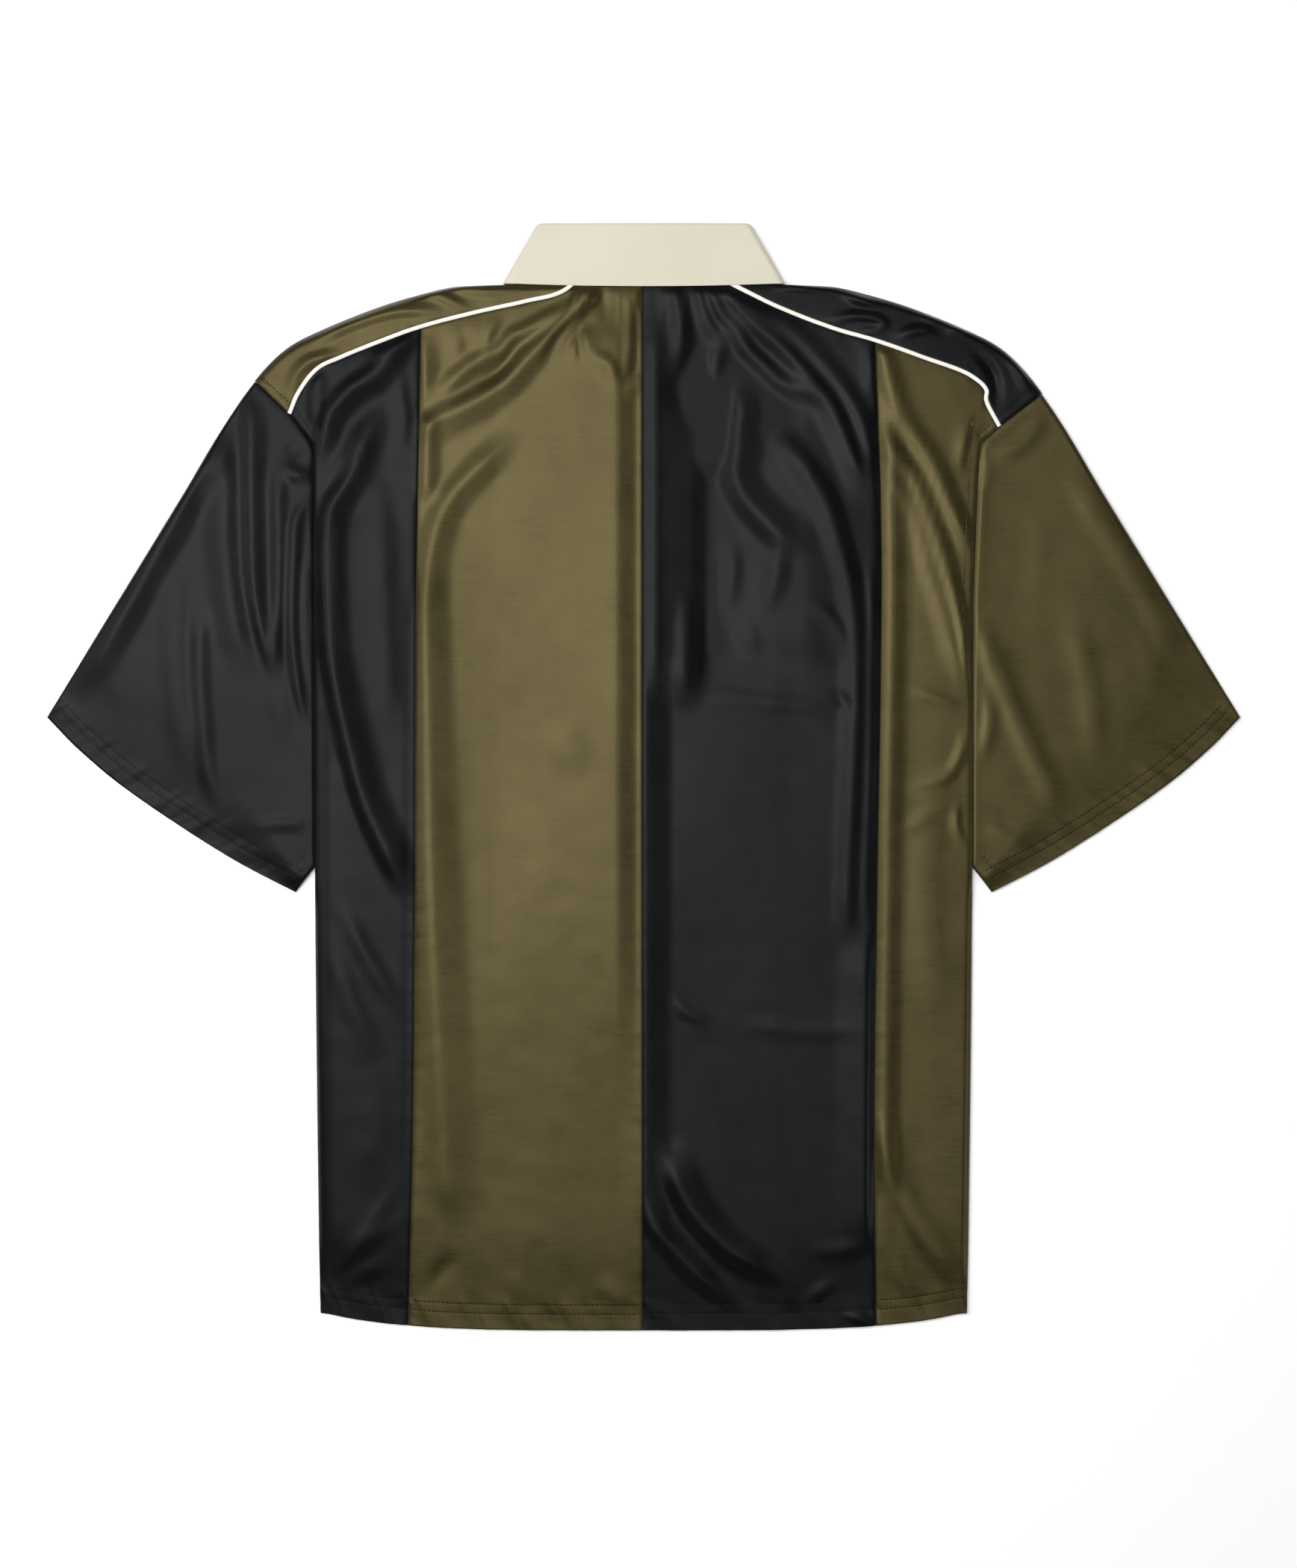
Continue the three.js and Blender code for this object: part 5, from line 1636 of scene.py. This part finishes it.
@dataclass
class Collar:
    """The turned collar: leaf over stand behind, both wings spread flat in front."""

    straight: float = 0.4  # share of each half that lies straight behind
    turned: float = 0.6  # share at which the side fold ends
    leaf_share: float = 0.5  # shares of the section: leaf, then fold, then stand
    fold_share: float = 0.7
    fold_depth: float = 1.8
    edge_rise: float = 1.8
    crown: float = 1.5
    counts: tuple[int, int, int] = (34, 18, 30)  # columns behind, round the fold and in front
    edge: CollarLine = CollarLine(95.25, 3.5, 7.4, COLLAR_CLOTH / 2)
    leaf_fold: CollarLine = CollarLine(72.95, 3.5, 8.6, COLLAR_CLOTH / 2)
    stand_fold: CollarLine = CollarLine(70.25, 1.2, BACK_Z, 2.7)
    stand: CollarLine = CollarLine(85.7, 1.2, BACK_Z, 2.7)
    slack: Waves = Waves(seed=21, count=7, shortest=40, longest=110, height=0.22)

    def line(self, shape: CollarLine, half: Array, y: Number, name: str) -> Array:
        """Return one of the collar's lines.

        Args:
            shape: How the line turns round the side fold.
            half: Shares from the centre back to the centre front.
            y: The line's y behind.
            name: The line's name in front.

        Returns:
            Points with x, y and z last.
        """
        in_front = np.clip((half - self.turned) / (1 - self.turned), 0, 1)
        front_x, front_y = (curve(in_front) for curve in COLLAR_FRONT[name])
        turn = np.clip((half - self.straight) / (self.turned - self.straight), 0, 1)
        behind_x = (shape.reach - shape.bulge) * half / self.straight
        turn_x = shape.reach - shape.bulge * (1 - np.sin(math.pi * turn))
        x = np.where(half <= self.straight, behind_x, turn_x)
        z = lerp(shape.front, shape.back, (1 + np.cos(math.pi * turn)) / 2)
        return np.stack([np.where(in_front > 0, front_x, x), np.where(in_front > 0, front_y, y), z], -1)

    def section(self, u: Array, share: Array) -> Array:
        """Return points of the collar's middle surface.

        Args:
            u: Shares across, from the leaf's free edge over the fold to the neck.
            share: Shares from the left front (-1) round the back (0) to the right front (1).

        Returns:
            Points with x, y and z last.
        """
        half = np.abs(share)
        edge_y = LEAF_EDGE_Y + self.edge_rise * np.minimum(half / self.straight, 1) ** 2
        fold_y = COLLAR_TOP_Y - COLLAR_CLOTH / 2 - self.fold_depth
        edge = self.line(self.edge, half, edge_y, "edge")
        leaf = self.line(self.leaf_fold, half, fold_y, "fold")
        inner = self.line(self.stand_fold, half, fold_y, "fold")
        stand = self.line(self.stand, half, NECK_Y + GAP, "stand")
        behind = 1 - smooth((half - self.straight) / (self.turned - self.straight))
        t = np.clip(u / self.leaf_share, 0, 1)
        on_leaf = lerp(edge, leaf, t[..., None])
        swell = self.crown + self.slack.at(share * 100, t * 40)
        on_leaf[..., 2] += swell * behind * np.sin(math.pi * t)
        round_fold = (u - self.leaf_share) / (self.fold_share - self.leaf_share)
        turn = math.pi * np.clip(round_fold, 0, 1)[..., None]
        middle = (leaf + inner) / 2
        reach = (leaf - edge) * (distance(leaf, inner) / 2 / distance(leaf, edge))[..., None]
        on_fold = middle + (leaf - middle) * np.cos(turn) + reach * np.sin(turn)
        down = np.clip((u - self.fold_share) / (1 - self.fold_share), 0, 1)[..., None]
        on_stand = lerp(inner, stand, down)
        point = np.where((u <= self.leaf_share)[..., None], on_leaf, on_fold)
        point = np.where((u > self.fold_share)[..., None], on_stand, point)
        point[..., 0] *= np.where(share < 0, -1, 1)
        return point

    def make(self) -> Made:
        """Make the collar.

        Returns:
            The made collar.
        """
        leaf = np.r_[0, 0.012, 0.03, 0.055, np.linspace(0.09, 1, 16)] * self.leaf_share
        fold = np.linspace(self.leaf_share, self.fold_share, 15)[1:]
        stand = np.linspace(self.fold_share, 1, 9)[1:]
        ends = zip((0, self.straight, self.turned), (self.straight, self.turned, 1), self.counts)
        half = np.concatenate([np.linspace(a, b, n, endpoint=b == 1) for a, b, n in ends])
        shares = np.concatenate([-half[:0:-1], half])
        middle = self.section(*np.meshgrid(np.concatenate([leaf, fold, stand]), shares, indexing="ij"))
        made = cloth_wall("collar_cloth", middle, COLLAR_CLOTH)
        across = distance(middle[1:], middle[:-1]).sum(axis=0)
        along = distance(middle[:, 1:], middle[:, :-1]).sum(axis=1)
        made.flat = (float(along.max()) * MM, float(across.max()) * MM)
        made.area = float(np.mean(across)) * float(np.mean(along)) * MM * MM
        return made


@dataclass
class Placket:
    """The placket and its buttons, which lie face down at the centre front."""

    button_ys: tuple[float, ...] = (275.0, 225.0, 175.0)
    button_radius: float = 5.5
    button_thickness: float = 2.0
    rim: float = 1.1
    dish: float = 0.45
    hole_radius: float = 0.75
    hole_spread: float = 1.35
    thread_radius: float = 0.3
    edge_stitch: float = 2.5

    def strip(self) -> Made:
        """Make the placket's strip.

        Returns:
            The made strip.
        """
        low, high = PLACKET_BOTTOM_Y + GAP, PLACKET_TOP_Y
        vs = stations(high - low, 2.4)
        u, v = np.meshgrid(stations(2 * PLACKET_HALF, 1.6), vs, indexing="ij")
        plan = plan_points(lerp(-PLACKET_HALF, PLACKET_HALF, u), lerp(low, high, v))
        from_edge = np.minimum(PLACKET_HALF - np.abs(plan[..., 0]), plan[..., 1] - low)
        z = FRONT_Z + PLACKET_LIFT - stitch_groove(from_edge, self.edge_stitch, 0.25)
        made = cloth_wall("placket_cloth", np.concatenate([plan, z[..., None]], -1), CLOTH)
        made.flat = (2 * PLACKET_HALF * MM, (high - low) * MM)
        made.area = 2 * PLACKET_HALF * (high - low) * MM * MM
        return made

    def button(self, number: int, y: float) -> Thing:
        """Make a button with a raised rim and four holes, its face down.

        Args:
            number: The button's number from the neck down.
            y: Where it is sewn.

        Returns:
            The button.
        """
        r, t = self.button_radius, self.button_thickness
        # Radius and height of the turned profile, from the middle of the face to that of the back.
        profile = [
            (0, self.dish), (r - self.rim - 0.9, self.dish), (r - self.rim - 0.35, self.dish * 0.7),
            (r - self.rim, 0.08), (r - self.rim * 0.6, 0), (r - 0.45, 0.03), (r - 0.12, 0.28),
            (r, 0.75), (r - 0.1, 1.25), (r - 0.7, t - 0.25), (r - 2.0, t), (0, t),
        ]
        disc = lathe(f"button_{number}_horn", profile, 48, (0.0, y))
        cutter = [(0, -1), (self.hole_radius, -1), (self.hole_radius, t + 1), (0, t + 1)]
        for k in range(4):
            angle = math.radians(45 + 90 * k)
            at = (self.hole_spread * math.cos(angle), y + self.hole_spread * math.sin(angle))
            drill(disc, lathe("drill", cutter, 16, at))
        return disc

    def shank_threads(self, number: int, y: float) -> Thing:
        """Make the two crossed threads that hold a button.

        Args:
            number: The button's number from the neck down.
            y: Where it is sewn.

        Returns:
            The threads.
        """
        s = self.hole_spread * math.sqrt(0.5)
        low, high = self.dish - 0.25, self.button_thickness + 0.2
        bar = np.array([(-s, -s, high), (-s, -s, low + 0.1), (0, 0, low), (s, s, low + 0.1), (s, s, high)])
        radii = np.full(len(bar), self.thread_radius)
        strands = [(bar * (1, flip, 1) + (0, y, 0), radii) for flip in (1, -1)]
        return thread_mesh(f"button_{number}_threads", strands, 8)


def lathe(name: str, profile: Sequence[Span], turns: int, at: Span) -> Thing:
    """Turn a profile round an upright axis.

    Args:
        name: The object's name.
        profile: Radius and height rows that start and end on the axis.
        turns: Number of steps round the axis.
        at: The axis's x and y.

    Returns:
        The object.
    """
    angle = np.arange(turns) * 2 * math.pi / turns
    inner = np.array(profile[1:-1], float)
    ring = [inner[:, :1] * np.cos(angle) + at[0], inner[:, :1] * np.sin(angle) + at[1]]
    ring.append(np.broadcast_to(inner[:, 1:], ring[0].shape))
    ends = [(*at, profile[0][1]), (*at, profile[-1][1])]
    points = np.concatenate([np.stack(ring, -1).reshape(-1, 3), np.array(ends)])
    number = np.arange(len(inner) * turns).reshape(len(inner), turns)
    after = np.roll(number, -1, axis=1)
    faces = quads(number[:-1], after[:-1], after[1:], number[1:]).tolist()
    foot, head = len(points) - 2, len(points) - 1
    faces += [[foot, b, a] for a, b in zip(number[0].tolist(), after[0].tolist())]
    faces += [[head, a, b] for a, b in zip(number[-1].tolist(), after[-1].tolist())]
    return mesh_piece(name, points, faces).thing


def drill(thing: Thing, cutter: Thing) -> None:
    """Cut one object out of another and remove the cutter.

    Args:
        thing: The object that is cut.
        cutter: The object that is cut away.
    """
    cut = thing.modifiers.new("hole", "BOOLEAN")
    cut.operation, cut.solver, cut.object = "DIFFERENCE", "EXACT", cutter
    bpy.context.view_layer.update()
    made = bpy.data.meshes.new_from_object(thing.evaluated_get(bpy.context.evaluated_depsgraph_get()))
    thing.modifiers.clear()
    old, thing.data = thing.data, made
    bpy.data.meshes.remove(old)
    tool = cutter.data
    bpy.data.objects.remove(cutter)
    bpy.data.meshes.remove(tool)


# Sewing


def thread_mesh(name: str, strands: Sequence[Strand], sides: int = 6) -> Thing:
    """Make one mesh of many short threads.

    Args:
        name: The object's name.
        strands: Each thread's points in mm and its radii there.
        sides: Number of sides of a thread.

    Returns:
        The object.
    """
    angle = np.arange(sides) * 2 * math.pi / sides
    points, faces, count = [], [], 0
    for path, radii in strands:
        run = np.gradient(path, axis=0)
        run /= distance(run, 0.0)[:, None]
        aside = np.cross(run, np.array([0.0, 0.0, 1.0]))
        aside[distance(aside, 0.0) < 1e-3] = (1.0, 0.0, 0.0)  # where the thread runs straight up
        aside /= distance(aside, 0.0)[:, None]
        over = np.cross(aside, run)
        ring = aside[:, None] * np.cos(angle)[None, :, None] + over[:, None] * np.sin(angle)[None, :, None]
        points.append((path[:, None] + ring * radii[:, None, None]).reshape(-1, 3))
        number = count + np.arange(len(path) * sides).reshape(len(path), sides)
        after = np.roll(number, -1, axis=1)
        faces += quads(number[:-1], number[1:], after[1:], after[:-1]).tolist()
        faces += [number[0].tolist(), number[-1][::-1].tolist()]
        count += len(path) * sides
    return mesh_piece(name, np.concatenate(points), faces).thing


@dataclass
class Needle:
    """Sews rows of stitches onto made cloths."""

    pitch: float = 3.1
    stitch: float = 2.35
    radius: float = 0.36
    lift: float = 0.2
    sunk: float = 0.08
    bends: int = 5

    def row(self, path: Array, cloth: Made) -> list[Strand]:
        """Sew along a path.

        Args:
            path: Close plan points of the row in the shirt's frame.
            cloth: The cloth that is sewn.

        Returns:
            Threads for thread_mesh.
        """
        far = np.concatenate([[0.0], np.cumsum(distance(path[1:], path[:-1]))])
        swell = np.sin(np.linspace(0, math.pi, self.bends))
        rises = (self.lift * swell - self.sunk).tolist()
        strands = []
        for start in np.arange(self.pitch / 2, far[-1] - self.stitch, self.pitch):
            at = start + np.linspace(0, self.stitch, self.bends)
            places = zip(np.interp(at, far, path[:, 0]), np.interp(at, far, path[:, 1]))
            found = [cloth.find(float(x), float(y)) for x, y in places]
            if all(found):
                strand = [place + normal * rise for (place, normal), rise in zip(found, rises)]
                strands.append((np.array(strand), self.radius * (0.5 + 0.5 * swell)))
        return strands


@dataclass
class Sewing:
    """Every visible row of stitches."""

    panels: BackPanels
    sleeves: Sleeves
    needle: Needle = field(default_factory=Needle)
    zigzag: Span = (1.7, 3.2)  # pitch and width of the stitches at the underarm
    zigzag_start: Span = (226.5, -60.5)
    zigzag_run: Span = (0.62, -0.78)
    zigzags: int = 6

    def body_hem(self, side: Side, plan: Patch, cloth: Made) -> list[Strand]:
        """Sew the two rows of a panel's hem.

        Args:
            side: The half.
            plan: The panel's plan.
            cloth: The panel.

        Returns:
            The threads.
        """
        u = np.linspace(0.012, 0.988, 160)
        strands = []
        for height in self.panels.hem_stitches:
            path = plan.at(u, u * 0 + height / self.panels.length)
            path[:, 1] = plan.at(u, u * 0)[:, 1] + height
            strands += self.needle.row(path * (side.sign, 1), cloth)
        return strands

    def sleeve_hem(self, side: Side, cloth: Made) -> list[Strand]:
        """Sew the two rows of a sleeve's hem.

        Args:
            side: The half.
            cloth: The sleeve.

        Returns:
            The threads.
        """
        plan = self.sleeves.plan_of(side)
        v = np.linspace(0.02, 0.975, 160)
        edge = plan.at(v * 0, v)
        inward = plan.at(v * 0 + 0.12, v) - edge
        inward /= distance(inward, 0.0)[:, None]
        rows = [edge + inward * away for away in self.sleeves.hem_stitches]
        return [strand for row in rows for strand in self.needle.row(row * (side.sign, 1), cloth)]

    def armhole(self, side: Side, low: Span, high: Span, cloth: Made) -> list[Strand]:
        """Sew the row beside a straight stretch of the armhole seam.

        Args:
            side: The half.
            low: The stretch's lower end.
            high: Its upper end.
            cloth: The cloth beside it.

        Returns:
            The threads.
        """
        path = lerp(np.array(low, float), np.array(high, float), np.linspace(0.04, 0.94, 40)[:, None])
        run = (path[-1] - path[0]) / distance(path[-1], path[0])
        inside = np.array([-run[1], run[0]]) * ARMHOLE_STITCH
        return self.needle.row((path + inside) * (side.sign, 1), cloth)

    def underarm(self, side: Side, cloth: Made) -> list[Strand]:
        """Sew the small zigzag that closes a sleeve's hem at the underarm.

        Args:
            side: The half.
            cloth: The sleeve.

        Returns:
            The threads.
        """
        pitch, width = self.zigzag
        start, run = np.array(self.zigzag_start), np.array(self.zigzag_run)
        aside = np.array([run[1], -run[0]])
        strands = []
        for k in range(self.zigzags):
            a = start + run * pitch * k + aside * width / 2 * (-1) ** k
            b = start + run * pitch * (k + 1) - aside * width / 2 * (-1) ** k
            path = np.linspace(a, b, 12) * (side.sign, 1)
            stitch = Needle(pitch=9.0, stitch=float(distance(b, a)) * 0.96, radius=0.22)
            strands += stitch.row(np.vstack([path[0] - (path[1] - path[0]) * 40, path]), cloth)[-1:]
        return strands


# The room


@dataclass(frozen=True)
class Lamp:
    """A rectangular soft lamp."""

    name: str
    at: Colour  # where it hangs, in mm
    aim: Colour  # where it points, in mm
    size: Span  # its width and depth in mm
    watts: float

    def hang(self) -> None:
        """Hang the lamp."""
        data = bpy.data.lights.new(self.name, "AREA")
        data.shape = "RECTANGLE"
        data.size, data.size_y = self.size[0] * MM, self.size[1] * MM
        data.energy = self.watts
        lamp = bpy.data.objects.new(self.name, data)
        lamp.location = Vector(self.at) * MM
        lamp.rotation_euler = (Vector(self.aim) - Vector(self.at)).to_track_quat("-Z", "Y").to_euler()
        bpy.context.scene.collection.objects.link(lamp)


@dataclass
class Studio:
    """The floor, lights and camera."""

    middle: Span = (3.3, -4.6)  # where the camera looks, in mm
    view_height: float = 1066.8  # what the long side of the view takes in, in mm
    camera_height: float = 2400.0
    sensor: float = 36.0
    floor_half: float = 4000.0
    floor_z: float = -0.4
    floor: BoardFinish = BoardFinish("pale_board", (0.9, 0.9, 0.9))
    heights: Span = (0.2, 0.65)  # where the walls end and the ceiling begins
    glow: Span = (0.22, 0.05)  # brightness of the walls and of the ceiling
    lamps: tuple[Lamp, ...] = (
        Lamp("key softbox", (-600, 300, 2500), (-600, 300, 0), (1200, 1100), 32.0),
        Lamp("overhead softbox", (-175, 300, 2520), (-175, 300, 0), (2150, 2700), 41.0),
        Lamp("left softbox", (-1900, 500, 2000), (0, 0, 0), (1500, 1800), 32.0),
        Lamp("right side", (3000, -600, 1700), (0, 0, 0), (800, 1600), 14.0),
    )

    def build(self) -> None:
        """Build the floor, the room's light, the lamps and the camera."""
        self.lay_floor()
        self.light_room()
        for lamp in self.lamps:
            lamp.hang()
        self.place_camera()

    def lay_floor(self) -> None:
        """Lay a plain pale board under the shirt."""
        h, z = self.floor_half, self.floor_z
        corners = np.array([(-h, -h, z), (h, -h, z), (h, h, z), (-h, h, z)])
        board = mesh_piece("floor", corners, [[0, 1, 2, 3]]).thing
        board.data.materials.append(self.floor.material())

    def light_room(self) -> None:
        """Give the room pale walls and a darker ceiling."""
        world = bpy.data.worlds.new("studio")
        bench = Bench(world, "Generated")
        up = bench.add("SeparateXYZ", "Z", {0: bench.place})
        bench.feed(bench.nodes["Background"], {"Color": bench.spread(up, *self.glow, self.heights)})
        bpy.context.scene.world = world
        bpy.context.scene.view_settings.view_transform = "Standard"

    def place_camera(self) -> None:
        """Hang the camera straight above the shirt."""
        data = bpy.data.cameras.new("camera")
        data.sensor_width = self.sensor
        data.lens = self.sensor * self.camera_height / self.view_height
        data.clip_end = 20.0
        camera = bpy.data.objects.new("camera", data)
        camera.location = Vector((*self.middle, self.camera_height + BACK_Z)) * MM
        bpy.context.scene.collection.objects.link(camera)
        bpy.context.scene.camera = camera


# The shirt

CORD = CordFinish("white_cord", srgb(240, 237, 228), srgb(222, 217, 204))
HORN = HornFinish("dark_horn", srgb(46, 40, 36), srgb(28, 25, 24))


class Cloth(Enum):
    """Which cloth a piece is cut from: the record's slot, its finish and its thread."""

    OLIVE = (
        "satin_olive",
        SatinFinish(
            "olive_satin", srgb(45, 40, 21), srgb(28, 24, 11), srgb(50, 44, 25), (0.32, 0.2635, 0.1245)
        ),
        ThreadFinish("olive_thread", srgb(22, 18, 9), srgb(15, 12, 6)),
    )
    BLACK = (
        "satin_black",
        SatinFinish(
            "black_satin", srgb(10, 12, 12), srgb(4, 5, 5), srgb(14, 15, 16), (0.0715, 0.0748, 0.0764)
        ),
        ThreadFinish("black_thread", srgb(30, 30, 32), srgb(18, 18, 20)),
    )
    ECRU = (
        "collar_ecru",
        CollarFinish("ecru_cotton", srgb(201, 196, 178), srgb(187, 182, 163)),
        ThreadFinish("ecru_thread", srgb(214, 206, 186), srgb(196, 188, 168)),
    )


class Workshop:
    """Dresses made pieces and fastens them to the frame."""

    def __init__(self) -> None:
        """Keep each finish's material, built once."""
        self.materials: dict[str, bpy.types.Material] = {}

    def fasten(self, thing: Thing, finish: Finish, slot: str, *nodes: str) -> None:
        """Give a piece its finish and fasten it to the shirt's one body.

        Args:
            thing: The piece.
            finish: Its finish.
            slot: The record's material slot; not used.
            nodes: The solids that it stands for.
        """
        if finish.name not in self.materials:
            self.materials[finish.name] = finish.material()
        thing.data.materials.clear()
        thing.data.materials.append(self.materials[finish.name])
        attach(thing, "root")
        if nodes:
            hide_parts(*nodes)
        thing.data.calc_loop_triangles()
        log.info("%s: %d triangles", thing.name, len(thing.data.loop_triangles))

    def lay(
        self, made: Made, cloth: Cloth, on: Sequence[str], threads: Sequence[Strand] = (),
        held: str = "laid",
    ) -> None:
        """Fasten a cloth with its threads.

        Args:
            made: The made cloth, named after the solid that it stands for.
            cloth: What it is cut from.
            on: The pieces that it lies on; not used.
            threads: The threads sewn onto it.
            held: How it is held; not used.
        """
        node = made.thing.name.removesuffix("_cloth")
        slot, finish, thread = cloth.value
        self.fasten(made.thing, finish, slot, node)
        if threads:
            made.trims.append(thread_mesh(f"{node}_stitches", threads))
            self.fasten(made.trims[-1], thread, slot)
        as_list(made.trims)


class PoloShirt:
    """The whole shirt, built from the floor up."""

    # Each half with the cloth of its outer and of its inner pieces.
    HALVES = ((LEFT, Cloth.BLACK, Cloth.OLIVE), (RIGHT, Cloth.OLIVE, Cloth.BLACK))

    def __init__(self) -> None:
        """Set out the sub-assemblies."""
        self.shop = Workshop()
        self.panels = BackPanels()
        self.yokes = Yokes()
        self.sleeves = Sleeves()
        self.sewing = Sewing(self.panels, self.sleeves)

    def build(self) -> None:
        """Build every piece in order, from the placket at the floor to the collar."""
        self.front()
        self.add_sleeves()
        self.back()
        self.collar()

    def front(self) -> None:
        """Build the placket, its buttons and the front halves."""
        placket = Placket()
        self.shop.lay(placket.strip(), Cloth.BLACK, ["button_1_horn", "button_2_horn", "button_3_horn"])
        slot, _, thread = Cloth.BLACK.value
        for number, y in enumerate(placket.button_ys, start=1):
            self.shop.fasten(placket.button(number, y), HORN, "button_horn", f"button_{number}")
            self.shop.fasten(placket.shank_threads(number, y), thread, slot)
        fronts = Fronts(self.yokes)
        for side, outer, _ in self.HALVES:
            self.shop.lay(fronts.make(side), outer, ["floor", "collar_cloth"])

    def add_sleeves(self) -> None:
        """Build the sleeves with their hems' stitches."""
        for side, outer, _ in self.HALVES:
            made = self.sleeves.make(side)
            threads = self.sewing.sleeve_hem(side, made) + self.sewing.underarm(side, made)
            self.shop.lay(made, outer, ["floor"], threads)

    def back(self) -> None:
        """Build the back panels, the yokes and the piping between them."""
        for side, outer, inner in self.HALVES:
            front, sleeve = f"front_{side.name}_cloth", f"sleeve_{side.name}_cloth"
            centre, aside, yoke = self.panels.centre(side), self.panels.side(side), self.yokes.make(side)
            piping = Piping().make(side, [centre, aside, yoke]).thing
            pipe = side.piping[0]
            hem = self.sewing.body_hem(side, self.panels.centre_plan(side), centre)
            self.shop.lay(centre, inner, ["front_left_cloth", "front_right_cloth"], hem)
            rows = self.sewing.body_hem(side, self.panels.side_plan(side), aside)
            rows += self.sewing.armhole(side, side.kink, pipe, aside)
            self.shop.lay(aside, outer, [front, sleeve], rows)
            self.shop.fasten(piping, CORD, "piping_white", f"piping_{side.name}")
            yoke.trims.append(piping)
            self.shop.lay(yoke, inner, [front], self.sewing.armhole(side, pipe, side.corner, yoke))

    def collar(self) -> None:
        """Build the collar."""
        on = ["floor", "yoke_left_cloth", "yoke_right_cloth"]
        self.shop.lay(Collar().make(), Cloth.ECRU, on, held="folded")


def main() -> None:
    """Build the studio and the shirt."""
    logging.basicConfig(level=logging.INFO, format="%(name)s: %(message)s")
    Studio().build()
    PoloShirt().build()


if __name__ == "__main__":
    main()
